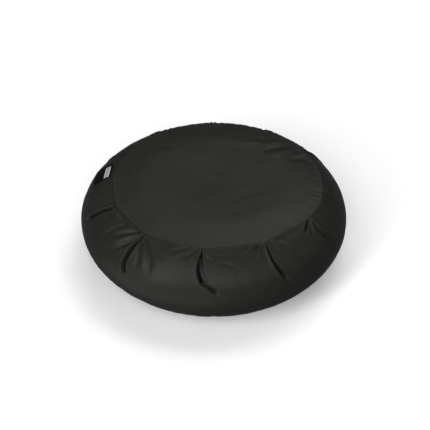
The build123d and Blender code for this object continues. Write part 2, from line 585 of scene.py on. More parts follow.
def reshape(piece: Piece, change: Callable[[Array], Array]) -> None:
    """Moves a piece's vertices by a function of their places."""
    piece.data.vertices.foreach_set("co", change(vertices_of(piece)).astype(np.float32).ravel())
    piece.data.update()


def outline_of(path: Sequence[Point], thickness: float) -> list[Point]:
    """The closed outline of a tape's section that follows a path.

    Args:
        path: points along the middle of the tape.
        thickness: the tape's thickness.

    Returns:
        The outline's points in order.
    """
    middle = np.array(path, float)
    along = unit(np.gradient(middle, axis=0))
    across = np.stack([-along[:, 1], along[:, 0]], axis=1) * thickness / 2
    return [tuple(p) for p in (*(middle + across), *(middle - across)[::-1])]


def begin_outline(name: str, corners: Sequence[Sequence[float]], fill: str) -> Piece:
    """Starts a piece from its section, and leaves it in edit mode, all selected.

    Args:
        name: the piece's name.
        corners: the section's corners.
        fill: how the section is filled, as the circle operator says it.

    Returns:
        The piece.
    """
    bpy.ops.object.select_all(action="DESELECT")
    bpy.ops.mesh.primitive_circle_add(vertices=len(corners), radius=MM, fill_type=fill)
    piece = bpy.context.object
    piece.name = piece.data.name = name
    for vertex, corner in zip(piece.data.vertices, corners):
        vertex.co = corner
    bpy.ops.object.mode_set(mode="EDIT")
    bpy.ops.mesh.select_all(action="SELECT")
    return piece


def end_outline(piece: Piece) -> Piece:
    """Turns a piece's faces outwards, leaves edit mode and smooths it.

    Args:
        piece: the piece, in edit mode.

    Returns:
        The same piece.
    """
    bpy.ops.mesh.select_all(action="SELECT")
    bpy.ops.mesh.normals_make_consistent(inside=False)
    bpy.ops.object.mode_set(mode="OBJECT")
    piece.data.shade_smooth()
    return piece


def spun_ring(name: str, outline: Sequence[Point], steps: int) -> Piece:
    """Spins a closed outline once round the vertical axis.

    Args:
        name: the piece's name.
        outline: its section's corners, in radius and height.
        steps: how many steps go round.

    Returns:
        The new object.
    """
    piece = begin_outline(name, [(radius, 0.0, height) for radius, height in outline], "NOTHING")
    bpy.ops.mesh.spin(steps=steps, angle=math.tau, center=(0, 0, 0), axis=(0, 0, 1))
    bpy.ops.mesh.select_all(action="SELECT")
    bpy.ops.mesh.remove_doubles(threshold=0.02 * MM)
    return end_outline(piece)


def extruded_bar(name: str, outline: Sequence[Point], length: float, steps: int) -> Piece:
    """Extrudes a closed outline along X from 0.

    Args:
        name: the piece's name.
        outline: its section's corners, in Y and Z.
        length: its length.
        steps: how many equal steps make it.

    Returns:
        The new object.
    """
    piece = begin_outline(name, [(0.0, across, up) for across, up in outline], "NGON")
    for _ in range(steps):
        bpy.ops.mesh.extrude_region_move(TRANSFORM_OT_translate={"value": (length / steps, 0, 0)})
    return end_outline(piece)


def map_tape(piece: Piece, round_axis: bool) -> None:
    """Gives a tape its flat map: along its length, and round its section.

    Args:
        piece: the tape.
        round_axis: whether it runs round the vertical axis, or along X.
    """
    points = vertices_of(piece)
    along, across = points[:, 0], points[:, 1]
    if round_axis:
        across = radius_of(points)
        along = np.radians(bearing(points)) * across.mean()
    map_flat(piece.data, np.stack([along, across + points[:, 2]], axis=1))


@dataclass(frozen=True)
class StitchRow:
    """A row of equal stitches laid along a line.

    Attributes:
        length: length of one stitch.
        pitch: distance from one stitch to the next.
        radius: radius of the thread.
    """

    length: float = 3.2 * MM
    pitch: float = 4.0 * MM
    radius: float = 0.28 * MM

    def stitch(self) -> Piece:
        """One stitch along X, its ends dipping into the cloth, lying on Z = 0.

        Returns:
            The stitch.
        """
        bpy.ops.object.select_all(action="DESELECT")
        bpy.ops.mesh.primitive_cylinder_add(
            vertices=6, radius=self.radius, depth=self.length / 3, rotation=(0, math.pi / 2, 0)
        )
        stitch = bpy.context.object
        bpy.ops.object.transform_apply(location=False, rotation=True, scale=True)
        for side in (1.0, -1.0):
            choose(stitch)
            bpy.ops.object.mode_set(mode="EDIT")
            bpy.ops.mesh.select_all(action="DESELECT")
            bpy.ops.object.mode_set(mode="OBJECT")
            for polygon in stitch.data.polygons:
                polygon.select = polygon.normal.x * side > 0.9
            bpy.ops.object.mode_set(mode="EDIT")
            bpy.ops.mesh.select_mode(type="FACE")
            for _ in range(2):
                bpy.ops.mesh.extrude_region_move(
                    TRANSFORM_OT_translate={"value": (side * self.length / 6, 0, -0.45 * self.radius)}
                )
                bpy.ops.transform.resize(value=(1.0, 0.86, 0.86))
            bpy.ops.object.mode_set(mode="OBJECT")
        return stitch

    def lay(self, name: str, frames: Array) -> Piece:
        """Copies the stitch to each frame, as one piece.

        Args:
            name: the piece's name.
            frames: one row per stitch of four vectors: place, along, across and out.

        Returns:
            The piece that holds all the stitches.
        """
        stitch = self.stitch()
        corners = vertices_of(stitch)
        shapes = [list(p.vertices) for p in stitch.data.polygons]
        bpy.data.objects.remove(stitch)
        place, along, across, out = (frames[:, k][:, None] for k in range(4))
        points = place + corners[:, 0, None] * along + corners[:, 1, None] * across
        points = points + corners[:, 2, None] * out
        faces = [[v + n * len(corners) for v in shape] for n in range(len(frames)) for shape in shapes]
        return mesh_piece(name, points.reshape(-1, 3), faces)

    def frames_along(self, line: Array, out: Array, closed: bool) -> Array:
        """Frames at equal steps along a line.

        Args:
            line: the line's points, one per row, close together.
            out: the outward direction at each point.
            closed: whether the line comes back to its start.

        Returns:
            One row per stitch, as lay takes them.
        """
        if closed:
            line, out = np.vstack([line, line[:1]]), np.vstack([out, out[:1]])
        run = np.concatenate([[0.0], np.cumsum(np.linalg.norm(np.diff(line, axis=0), axis=1))])
        count = max(1, int(run[-1] / self.pitch))
        middle = (np.arange(count) + 0.5) * run[-1] / count
        half = self.length / 2

        def at(values: Array, distance: Array) -> Array:
            """Vectors at distances along the line."""
            return np.stack([np.interp(distance, run, values[:, k]) for k in range(3)], axis=1)

        place = at(line, middle)
        along = unit(at(line, middle + half) - at(line, middle - half))
        across = unit(np.cross(unit(at(out, middle)), along))
        return np.stack([place, along, across, unit(np.cross(along, across))], axis=1)


# --- Materials ---


class Nodes:
    """Adds nodes to a tree and joins them."""

    def __init__(self, tree: Tree) -> None:
        """Takes the tree to work in."""
        self.tree = tree

    def add(self, kind: str, **settings: object) -> bpy.types.Node:
        """Adds a node and sets its properties.

        Args:
            kind: the node's type.
            settings: its properties by name.

        Returns:
            The new node.
        """
        node = self.tree.nodes.new(kind)
        for name, value in settings.items():
            setattr(node, name, value)
        return node

    def join(self, source: Socket, target: Socket) -> None:
        """Links two sockets."""
        self.tree.links.new(source, target)

    def feed(self, socket: Socket, value: object) -> None:
        """Links a socket to another, or sets its value.

        Args:
            socket: an input.
            value: an output, a number or a colour.
        """
        if isinstance(value, Socket):
            self.join(value, socket)
        else:
            socket.default_value = value

    def math(self, operation: str, *values: object, clamp: bool = False) -> Socket:
        """Adds a math node.

        Args:
            operation: what it works out.
            values: its inputs, sockets or numbers.
            clamp: whether the result stays between 0 and 1.

        Returns:
            The result.
        """
        node = self.add("ShaderNodeMath", operation=operation, use_clamp=clamp)
        for socket, value in zip(node.inputs, values):
            self.feed(socket, value)
        return node.outputs[0]

    def blend(self, start: object, end: object, share: object) -> Socket:
        """Mixes two colours.

        Args:
            start: the first, a socket or a red, green and blue.
            end: the other.
            share: the share of the other.

        Returns:
            The mixed colour.
        """
        node = self.add("ShaderNodeMix", data_type="RGBA")
        for label, value in (("A", start), ("B", end), ("Factor", share)):
            self.feed(node.inputs[label], (*value, 1.0) if isinstance(value, tuple) else value)
        return node.outputs["Result"]

    def flat_place(self) -> tuple[Socket, Socket]:
        """The place on the piece's flat map, along and across."""
        split = self.add("ShaderNodeSeparateXYZ")
        self.join(self.add("ShaderNodeUVMap", uv_map="cloth").outputs[0], split.inputs[0])
        return split.outputs["X"], split.outputs["Y"]

    def weave(self, group: Tree, pitch: float) -> bpy.types.Node:
        """Places the weave, with a distance between its threads."""
        node = self.add("ShaderNodeGroup", node_tree=group)
        node.inputs["Pitch"].default_value = pitch
        return node

    def finish(self, colour: object, roughness: object, height: object, relief: Point, gloss: float) -> None:
        """Feeds the material's shader.

        Args:
            colour: the base colour.
            roughness: the roughness.
            height: the height of the fine relief.
            relief: the relief's strength and its depth in metres.
            gloss: level of the plain reflection.
        """
        shader = self.tree.nodes["Principled BSDF"]
        bump = self.add("ShaderNodeBump")
        bump.inputs["Strength"].default_value, bump.inputs["Distance"].default_value = relief
        self.join(height, bump.inputs["Height"])
        self.join(bump.outputs["Normal"], shader.inputs["Normal"])
        self.join(colour, shader.inputs["Base Color"])
        self.join(roughness, shader.inputs["Roughness"])
        shader.inputs["Specular IOR Level"].default_value = gloss


def new_material(name: str) -> tuple[Material, Nodes]:
    """Begins a material, and the helper for its nodes."""
    material = bpy.data.materials.new(name)
    material.use_nodes = True
    return material, Nodes(material.node_tree)


class Groups:
    """The shader node groups that several materials share."""

    @staticmethod
    def start(name: str, inputs: dict[str, float], outputs: Sequence[str]) -> tuple[Nodes, dict, dict]:
        """Begins a group with float inputs and outputs.

        Args:
            name: the group's name.
            inputs: each input's name and first value.
            outputs: the names of the outputs.

        Returns:
            The node helper, the input sockets by name and the output sockets by name.
        """
        tree = bpy.data.node_groups.new(name, "ShaderNodeTree")
        for label, value in inputs.items():
            socket = tree.interface.new_socket(label, in_out="INPUT", socket_type="NodeSocketFloat")
            socket.default_value = value
        for label in outputs:
            tree.interface.new_socket(label, in_out="OUTPUT", socket_type="NodeSocketFloat")
        nodes = Nodes(tree)
        given = nodes.add("NodeGroupInput").outputs
        wanted = nodes.add("NodeGroupOutput").inputs
        return nodes, {k: given[k] for k in inputs}, {k: wanted[k] for k in outputs}

    @classmethod
    def weave(cls) -> Tree:
        """Plain weave on the flat map: the height of the threads, and the gaps between them.

        Returns:
            The group.
        """
        nodes, given, wanted = cls.start("plain weave", {"Pitch": 1.1 * MM}, ("Height", "Gaps"))
        warp, weft = (
            nodes.math("SINE", nodes.math("MULTIPLY", nodes.math("DIVIDE", way, given["Pitch"]), math.pi))
            for way in nodes.flat_place()
        )
        over = nodes.math("MULTIPLY", warp, weft)
        bulge = nodes.math("ADD", nodes.math("ABSOLUTE", warp), nodes.math("ABSOLUTE", weft))
        height = nodes.math("MULTIPLY_ADD", over, 0.35, nodes.math("MULTIPLY", bulge, 0.5))
        nodes.join(height, wanted["Height"])
        nodes.join(nodes.math("LESS_THAN", bulge, 0.35), wanted["Gaps"])
        return nodes.tree

    @classmethod
    def handling(cls) -> Tree:
        """Slow changes of shade from dye lots, pressing and handling, by place on the object.

        Returns:
            The group.
        """
        nodes, given, wanted = cls.start(
            "handling", {"Broad": 6.0, "Fine": 38.0}, ("Broad shade", "Fine shade")
        )
        place = nodes.add("ShaderNodeTexCoord").outputs["Object"]
        for label, size in (("Broad shade", "Broad"), ("Fine shade", "Fine")):
            texture = nodes.add("ShaderNodeTexNoise")
            nodes.join(place, texture.inputs["Vector"])
            nodes.join(given[size], texture.inputs["Scale"])
            texture.inputs["Detail"].default_value = 3.0
            nodes.join(texture.outputs["Fac"], wanted[label])
        return nodes.tree


@dataclass(frozen=True)
class ClothFinish:
    """A woven finish.

    Attributes:
        name: the material's name.
        colour: its middle colour, which painted shade darkens deep in a fold.
        pale: its colour where handling has greyed it.
        pitch: distance between threads.
        grain: strength of the weave's relief.
        roughness: its middle roughness.
        specular: level of the plain reflection.
        painted_crease_shade: painted shade in the folds: the share of the colour that is left deep in a
            fold.
        hollow_dulling: how much rougher the cloth is there.
    """

    name: str
    colour: tuple[float, float, float]
    pale: tuple[float, float, float]
    pitch: float = 1.1 * MM
    grain: float = 0.12
    roughness: float = 0.62
    specular: float = 0.5
    painted_crease_shade: float = 0.1
    hollow_dulling: float = 0.5

    def build(self, groups: dict[str, Tree]) -> Material:
        """Makes the material.

        Args:
            groups: the shared groups by name.

        Returns:
            The material.
        """
        material, nodes = new_material(self.name)
        weave = nodes.weave(groups["weave"], self.pitch)
        wear = nodes.add("ShaderNodeGroup", node_tree=groups["handling"])
        shade = nodes.math("MULTIPLY_ADD", wear.outputs["Fine shade"], 0.35, -0.1)
        shade = nodes.math("MULTIPLY_ADD", wear.outputs["Broad shade"], 0.65, shade)
        shade = nodes.math("MULTIPLY_ADD", weave.outputs["Gaps"], -0.25, shade, clamp=True)
        # Painted shade: the band's mask of how deep each place lies in a fold darkens the colour there and
        # makes the cloth rougher.
        hollow = nodes.add("ShaderNodeAttribute", attribute_name="hollow").outputs["Fac"]
        painted_crease_shade = tuple(self.painted_crease_shade * part for part in self.colour)
        colour = nodes.blend(nodes.blend(self.colour, self.pale, shade), painted_crease_shade, hollow)
        rough = nodes.math("MULTIPLY_ADD", wear.outputs["Fine shade"], 0.16, self.roughness - 0.08)
        rough = nodes.math("MULTIPLY_ADD", hollow, self.hollow_dulling, rough, clamp=True)
        relief = (self.grain, 0.3 * self.pitch)
        nodes.finish(colour, rough, weave.outputs["Height"], relief, self.specular)
        return material


@dataclass(frozen=True)
class LabelFinish:
    """Black woven ribbon with a pale band woven along it, which carries a row of plain dashes."""

    name: str = "label ribbon"
    ground: tuple[float, float, float] = (0.003, 0.003, 0.003)
    band: tuple[float, float, float] = (0.45, 0.45, 0.44)
    band_start: float = 3.0 * MM
    band_width: float = 13.0 * MM
    band_near: float = 2.0 * MM
    band_far: float = 52.0 * MM
    dash_start: float = 3.4 * MM
    dash_end: float = 9.8 * MM
    dash_pitch: float = 5.4 * MM
    dash_gap: float = 0.48
    dash_shade: float = 0.85
    pick: float = 0.9 * MM
    relief: Point = (0.2, 0.1 * MM)
    specular: float = 0.05

    def build(self, groups: dict[str, Tree]) -> Material:
        """Makes the material. Its flat map runs along the label and across it.

        Args:
            groups: the shared groups by name.

        Returns:
            The material.
        """
        material, nodes = new_material(self.name)
        along, across = nodes.flat_place()
        inside = nodes.math("GREATER_THAN", across, self.band_start)
        for test, value, edge in (
            ("LESS_THAN", across, self.band_start + self.band_width),
            ("GREATER_THAN", along, self.band_near),
            ("LESS_THAN", along, self.band_far),
        ):
            inside = nodes.math("MULTIPLY", inside, nodes.math(test, value, edge))
        dash = nodes.math("FRACT", nodes.math("DIVIDE", along, self.dash_pitch))
        dash = nodes.math("GREATER_THAN", dash, self.dash_gap)
        for test, edge in (("GREATER_THAN", self.dash_start), ("LESS_THAN", self.dash_end)):
            dash = nodes.math("MULTIPLY", dash, nodes.math(test, across, self.band_start + edge))
        inside = nodes.math("MULTIPLY", inside, nodes.math("MULTIPLY_ADD", dash, -self.dash_shade, 1.0))
        picks = nodes.math("SINE", nodes.math("MULTIPLY", along, math.tau / self.pick))
        picks = nodes.math("MULTIPLY_ADD", picks, 0.12, 0.88)
        weave = nodes.weave(groups["weave"], 0.5 * self.pick)
        colour = nodes.blend(self.ground, self.band, nodes.math("MULTIPLY", inside, picks))
        rough = nodes.math("MULTIPLY_ADD", inside, 0.2, 0.45)
        nodes.finish(colour, rough, weave.outputs["Height"], self.relief, self.specular)
        return material


def dress(piece: Piece, material: Material) -> None:
    """Puts one material on the whole of a piece."""
    piece.data.materials.clear()
    piece.data.materials.append(material)


def enter(piece: Piece, body: Body, slot: str, *nodes: str) -> None:
    """Rides a piece on its body and puts it in place of frame nodes.

    Args:
        piece: the piece.
        body: the body that it rides on.
        slot: its material slot; not used.
        nodes: the frame nodes that it stands for.
    """
    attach(piece, body.value)
    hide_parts(*nodes)
    LOG.info("%s: %d faces, in place of %s", piece.name, len(piece.data.polygons), ", ".join(nodes))


# --- The cloth ---


@dataclass
class FacePanel:
    """The round face panel: a shallow crown, soft wrinkles, a rolled edge and its allowance.

    Attributes:
        seam: the seam round it.
        thickness: the cloth's thickness.
        crown: how far the middle stands above the edge.
        dish: how far the middle sinks back, within the share dish_reach of the radius.
        rim_drop: how far the cloth would fall between the shares rim_start and rim_end.
        calm_radius: where its slow unevenness has died out, over the last calm_width.
        roll: radius of the rolled edge.
        rings: how many rings of faces make the top.
        roll_rows: how many more make the rolled edge.
        allowance_rows: how many more make the allowance.
        pucker_seed: picks the puckers at the edge.
        pucker_pitch: least and most degrees from one pucker to the next.
        pucker_length: least and most length of one.
        pucker_depth: least and most depth of one.
        pucker_width: least and most width of one.
    """

    seam: FaceSeam
    thickness: float = 1.2 * MM
    crown: float = 2.0 * MM
    dish: float = 3.0 * MM
    dish_reach: float = 0.4
    rim_drop: float = 10.0 * MM
    rim_start: float = 0.62
    rim_end: float = 1.12
    calm_radius: float = 285.0 * MM
    calm_width: float = 20.0 * MM
    roll: float = 1.6 * MM
    rings: int = 100
    roll_rows: int = 5
    allowance_rows: int = 4
    pucker_seed: int = 5
    pucker_pitch: Point = (3.5, 8.0)
    pucker_length: Point = (12.0 * MM, 26.0 * MM)
    pucker_depth: Point = (0.25 * MM, 0.65 * MM)
    pucker_width: Point = (3.0 * MM, 5.0 * MM)

    def wrinkles(self) -> list[Fold]:
        """The soft wrinkles in the panel, in plan coordinates.

        Returns:
            The folds.
        """
        ridges = (
            ((20, 208), (60, 212), (100, 213), 1.0, 11),
            ((70, 170), (108, 175), (130, 178), -1.2, 11),
            ((106, 203), (134, 197), (162, 195), 1.2, 10),
            ((125, 164), (159, 178), (184, 199), -1.6, 9),
            ((128, 116), (151, 143), (177, 158), (204, 172), 2.0, 9),
            ((150, 94), (176, 121), (203, 144), (230, 162), -2.0, 13),
            ((184, 96), (219, 97), (242, 104), (260, 113), 1.3, 10),
            ((210, 116), (236, 123), (258, 134), -1.0, 7),
            ((-36, 16), (-22, 26), (-14, 10), (-8, 2), -0.9, 11),
            ((66, -112), (93, -139), (117, -148), (140, -128), -0.5, 11),
            ((58, -44), (79, -70), (98, -86), 0.45, 9),
            ((-195, 142), (-147, 157), (-100, 152), 0.6, 16),
            ((-120, -60), (-80, -90), (-30, -104), -0.4, 22),
        )
        folds = []
        for *points, depth, width in ridges:
            path = tuple((x * MM, y * MM) for x, y in points)
            folds.append(Fold(path, (depth * MM,) * 2, (width * MM,) * 2, fade=(0.35, 0.35)))
        return folds

    def edge_puckers(self) -> list[Fold]:
        """Short radial puckers where the panel is eased into the seam, stronger at the right.

        Returns:
            The folds.
        """
        random = np.random.default_rng(self.pucker_seed)
        folds = []
        angle = 0.0
        while angle < TURN:
            angle += random.uniform(*self.pucker_pitch)
            right = math.cos(math.radians(angle)) > 0.3
            length = random.uniform(*self.pucker_length) * (1.7 if right else 1.0)
            reach = float(self.seam.radius(np.array([angle]))[0]) - 2 * MM
            turns = np.array([angle, angle, angle + random.uniform(-2.0, 2.0)])
            line = ring(turns, reach - length * np.array([0.0, 0.5, 1.0]), 0.0)
            path = tuple((x, y) for x, y, _ in line)
            depth = random.uniform(*self.pucker_depth) * (1.5 if right else 1.0)
            width = random.uniform(*self.pucker_width)
            folds.append(Fold(path, (depth, depth * 0.5), (width, width * 1.3), fade=(0.05, 0.6)))
        return folds

    def profile(self, share: Array) -> Array:
        """The panel's height at a share of the way from its centre to the seam."""
        dome = self.crown * (1.0 - share**4) - self.dish * bell(share / self.dish_reach)
        fall = ramp((share - self.rim_start) / (self.rim_end - self.rim_start))
        return dome + self.rim_drop * (1.0 - fall)

    def rows(self) -> list[Array]:
        """The panel's rings from the centre out, then those of the rolled edge and allowance.

        Returns:
            The points of each ring.
        """
        rows = []
        for number in range(1, self.rings + 1):
            angle = np.arange(8 * number) * TURN / (8 * number)
            share = number / self.rings
            edge = self.seam.radius(angle) - self.seam.gap - self.roll
            rows.append(ring(angle, edge * share, self.seam.height + self.lift(share)))
        edge = self.seam.radius(angle) - self.seam.gap - self.roll
        for row in range(1, self.roll_rows + self.allowance_rows + 1):
            bend = min(row / self.roll_rows, 1.0) * math.pi / 2
            drop = self.roll * (1 - math.cos(bend))
            drop += max(row - self.roll_rows, 0) / self.allowance_rows * self.seam.allowance
            rows.append(ring(angle, edge + self.roll * math.sin(bend), self.seam.height - drop))
        return rows

    def faces(self) -> list[list[int]]:
        """The faces between the rings, with four round the centre and none left open.

        Returns:
            The vertex numbers of each face.
        """
        faces = [[0, 1 + k, 1 + (k + 1) % 8, 1 + (k + 2) % 8] for k in range(0, 8, 2)]
        inner = 1
        for number in range(1, self.rings):
            outer = inner + 8 * number
            inside, outside = 8 * number, 8 * number + 8
            for side in range(4):
                a, b = side * 2 * number, side * (2 * number + 2)
                for k in range(2 * number):
                    p, q = inner + (a + k) % inside, inner + (a + k + 1) % inside
                    m, n = outer + (b + k + 1) % outside, outer + (b + k + 2) % outside
                    faces.append([p, m, n, q])
                fan = [outer + (b + k) % outside for k in (-1, 0, 1)]
                faces.append([inner + a % inside, *fan])
            inner = outer
        count = 8 * self.rings
        for first in range(inner, inner + (self.roll_rows + self.allowance_rows) * count, count):
            for k in range(count):
                n = (k + 1) % count
                faces.append([first + k, first + count + k, first + count + n, first + n])
        return faces

    def lift(self, share: float) -> float:
        """Height above the seam at a share of the way from the centre to the seam."""
        return float(self.profile(np.array(share)) - self.profile(np.array(1.0)))

    def build(self) -> Piece:
        """Makes the panel.

        Returns:
            The panel.
        """
        centre = [[0.0, 0.0, self.seam.height + self.lift(0.0)]]
        points = np.vstack([centre, *self.rows()])
        flat = points[:, :2].copy()
        x, y = points[:, 0], points[:, 1]
        relief = Relief.of(self.wrinkles() + self.edge_puckers(), x, y)
        cloth = 0.35 * MM * drift(x, y, (46 * MM, 46 * MM), 3)
        cloth += 0.8 * MM * drift(x, y, (110 * MM, 110 * MM), 4)
        inner = ramp((self.calm_radius - radius_of(points)) / self.calm_width)
        on_top = np.arange(len(points)) < 1 + 4 * self.rings * (self.rings + 1)
        points[:, 2] += np.where(on_top, relief.rise + cloth * inner, 0.0)
        points[:, :2] += self.seam.centre
        piece = mesh_piece("face_cloth", points, self.faces())
        map_flat(piece.data, flat)
        thicken(piece, self.thickness)
        return piece

    def declare(self, piece: Piece) -> None:
        """Works out the radius of the round cut that the panel is made from, and does nothing with it."""
        radius = float(self.seam.radius(np.linspace(0, TURN, 72)).mean()) + self.seam.allowance


def mark(
    *path: Point,
    depth: Point,
    width: Point,
    lips: Point = (0.0, 0.0),
    spread: float = 1.0,
    tuck: float = 0.0,
    fade: Point = (0.08, 0.35),
) -> Fold:
    """One fold near a pleat, as a maker marks it.

    Args:
        path: its points, in degrees from the pleat and millimetres below the seam.
        depth: as in Fold, in millimetres.
        width: as in Fold, in millimetres.
        lips: as in Fold, in millimetres.
        spread: as in Fold.
        tuck: as in Fold, in millimetres.
        fade: as in Fold.

    Returns:
        The fold, its path in degrees from the pleat and metres.
    """
    lengths = ((a * MM, b * MM) for a, b in (depth, width, lips))
    return Fold(tuple((turn, s * MM) for turn, s in path), *lengths, spread, tuck * MM, fade)


def pleat(at: float, *marks: Fold) -> list[Fold]:
    """The folds of one pleat, moved to its angle."""
    return [replace(fold, path=tuple((at + turn, s) for turn, s in fold.path)) for fold in marks]


def join_window(s: Array) -> Array:
    """How much of its depth a join's allowance has, at distances below the seam."""
    return bell((s - 139 * MM) / (105 * MM)) ** 2


@dataclass
class SideBand:
    """One half of the side band, from one join round to the other.

    Attributes:
        name: the piece's name.
        start: angle of its first join, in degrees.
        sweep: the turn to its second join.
        section: the band's section.
        seam: the seam at its upper edge.
        gathers: the gathers at its lower edge.
        folds: its folds, in degrees and metres below the seam.
        dense: angles round which the cloth has finer faces.
        thickness: the cloth's thickness.
        blend: distance below the seam over which the band leaves the seam's line.
        swell: how far the cloth swells below the seam.
        hollow_from: depth of a fold from which the cloth counts as hidden in it and starts to take painted
            shade.
        hollow_depth: how much deeper it is wholly hidden.
        seam_rise: how far a fold may rise at the seam.
        free_rise: how much more for each metre below it.
        join_roll: radius of the cloth's edge where it turns in at a join.
        join_allowance: depth of the allowance there.
        join_rows: rows of faces on the allowance.
        columns: columns of faces from join to join.
        pleat_density: how much closer the columns stand at a pleat.
        pleat_reach: within how many degrees of it.
        join_density: how much closer they stand at a join.
        join_reach: within how many degrees of it.
        rows: stretches down the band, each to a distance in millimetres, with its rows.
    """

    name: str
    start: float
    sweep: float
    section: BandSection
    seam: FaceSeam
    gathers: Gathers
    folds: list[Fold]
    dense: tuple[float, ...]
    thickness: float = 1.2 * MM
    blend: float = 95.0 * MM
    swell: float = 0.8 * MM
    hollow_from: float = 8.0 * MM
    hollow_depth: float = 11.0 * MM
    seam_rise: float = 0.6 * MM
    free_rise: float = 0.16
    join_roll: float = 1.3 * MM
    join_allowance: float = 10.0 * MM
    join_rows: int = 3
    columns: int = 428
    pleat_density: float = 2.4
    pleat_reach: float = 4.2
    join_density: float = 5.0
    join_reach: float = 0.7
    rows: tuple[tuple[float, int], ...] = ((120.0, 60), (225.0, 26), (1000.0, 16))

    def angles(self) -> Array:
        """The columns' angles, closer together round the pleats and at the joins.

        Returns:
            The angles in degrees.
        """
        fine = np.linspace(0.0, self.sweep, 4001)
        weight = np.ones_like(fine)
        for angle in self.dense:
            away = (fine + self.start - angle + TURN / 2) % TURN - TURN / 2
            weight += self.pleat_density * bell(away / self.pleat_reach)
        for end in (0.0, self.sweep):
            weight += self.join_density * bell((fine - end) / self.join_reach)
        total = np.concatenate([[0.0], np.cumsum((weight[1:] + weight[:-1]) / 2)])
        even = np.linspace(0.0, total[-1], self.columns)
        angles = np.interp(even, total, fine)
        clear = math.degrees(self.seam.gap / self.section.outer_radius)
        return self.start + np.clip(angles, clear, self.sweep - clear)

    def distances(self) -> Array:
        """The rows' distances below the seam. Those of the rolled edge and allowance are negative.

        Returns:
            The distances, from the allowance's edge to the hem.
        """
        roll = self.seam.roll * math.pi / 2
        above = [-roll - np.linspace(self.seam.allowance, 0.0, 5), -roll * np.linspace(0.75, 0.25, 3)]
        below = []
        reached = 0.0
        for end, count in self.rows:
            end = min(end * MM, self.section.length)
            below.append(np.linspace(reached, end, count, endpoint=False))
            reached = end
        return np.concatenate([*above, *below, [self.section.length]])

    def surface(self, angle: Array, s: Array) -> Array:
        """Places on the smooth band, before its folds.

        Args:
            angle: angles in degrees.
            s: distances below the seam.

        Returns:
            The places, one vector for each.
        """
        band = ring(angle, *self.section.at(np.maximum(s, 0.0)))
        first_radius, first_height = self.section.at(np.zeros(1))
        first = ring(angle, first_radius[0], first_height[0])
        top = self.seam.height - self.seam.groove
        out = self.seam.gap + self.seam.roll
        edge = self.seam.point(angle, out, top)
        pull = np.clip(1.0 - s / self.blend, 0.0, 1.0) ** 2.2
        band += pull[..., None] * (edge - first)
        roll = self.seam.roll * math.pi / 2
        bend = math.pi / 2 * (1.0 + np.clip(-s / roll, 0.0, 1.0))
        drop = np.maximum(-s - roll, 0.0)
        rolled = self.seam.point(
            angle,
            out + self.seam.roll * np.cos(bend),
            top - self.seam.roll + self.seam.roll * np.sin(bend) - drop,
        )
        return np.where((s < 0)[..., None], rolled, band)

    def puff(self, s: Array) -> Array:
        """How far the cloth swells between the pleats, at distances below the seam."""
        return self.swell * bell((s - 42 * MM) / (34 * MM))

    def frame_at(self, angle: Array, s: Array) -> tuple[Array, Array, Array, Array]:
        """Places and directions on the smooth band.

        Args:
            angle: angles in degrees.
            s: distances below the seam.

        Returns:
            The places, and the directions round the band, down it and out of it.
        """
        place = self.surface(angle, s)
        step = 0.05
        turn = self.surface(angle + step, s) - self.surface(angle - step, s)
        slide = 0.2 * MM
        down = self.surface(angle, s + slide) - self.surface(angle, s - slide)
        around, down = unit(turn), unit(down)
        return place, around, down, unit(np.cross(down, around))

    def lay_folds(self, angle: Array, s: Array) -> Relief:
        """Presses the band's folds into it.

        Args:
            angle: angles in degrees.
            s: distances below the seam.

        Returns:
            The relief.
        """
        middle = self.start + self.sweep / 2
        laid = []
        for fold in self.folds:
            turns, falls = np.array(fold.path).T
            reach = self.section.at(np.maximum(falls, 0.0))[0]
            laid.append(replace(fold, path=tuple(zip(np.radians(turns - middle) * reach, falls))))
        radius = self.section.at(np.maximum(s, 0.0))[0]
        return Relief.of(laid, np.radians(angle - middle) * radius, s)

    @staticmethod
    def unevenness(angle: Array, s: Array) -> Array:
        """The rises and falls of cloth that is nowhere quite tight, less on the lower half.

        Args:
            angle: angles in degrees.
            s: distances below the seam.

        Returns:
            The rise at each place.
        """
        rise = np.zeros_like(s)
        for height, cell, seed, reach in (
            (0.55, (24.0, 46.0), 21, None),
            (0.9, (78.0, 110.0), 22, None),
            (0.55, (6.5, 60.0), 23, 13 * MM),
        ):
            wave = height * MM * drift(angle * ROUND, s / MM, cell, seed, TURN * ROUND)
            rise += wave if reach is None else wave * bell(s / reach)
        return rise * (1.0 - 0.65 * ramp((s - 120 * MM) / (50 * MM)))

    def folded(self, angle: Array, s: Array) -> tuple[Array, Array]:
        """The folded band.

        Args:
            angle: angles in degrees.
            s: distances below the seam.

        Returns:
            The places, and from 0 to 1 how far each is hidden in a fold, the mask for the painted shade in
            the folds.
        """
        place, around, down, out = self.frame_at(angle, s)
        relief = self.lay_folds(angle, s)
        free = ramp(s / (5 * MM)) * (1.0 - ramp((s - 285 * MM) / (15 * MM)))
        held = np.minimum(relief.rise, self.seam_rise + self.free_rise * s)
        rise = (held + self.unevenness(angle, s) + self.puff(s)) * free
        ends = np.minimum(angle - self.start, self.start + self.sweep - angle)
        radius = self.section.at(np.maximum(s, 0.0))[0]
        ends = np.radians(np.maximum(ends, 0.0)) * radius - self.seam.gap
        keep = ramp(ends / (9.0 * MM))
        curl = np.clip(1.0 - ends / self.join_roll, 0.0, 1.0)
        rise = rise * keep - self.join_roll * (1.0 - np.sqrt(np.maximum(1.0 - curl**2, 0.0)))
        moved = place + rise[..., None] * out
        moved += (relief.shift_x * free * keep)[..., None] * around
        moved += (relief.shift_y * free * keep)[..., None] * down
        # Mask of painted shade: how deep in a fold each place lies, for the material to darken.
        hidden = np.clip((-relief.rise - self.hollow_from) / self.hollow_depth, 0.0, 1.0)
        return self.gathers.move(moved), hidden

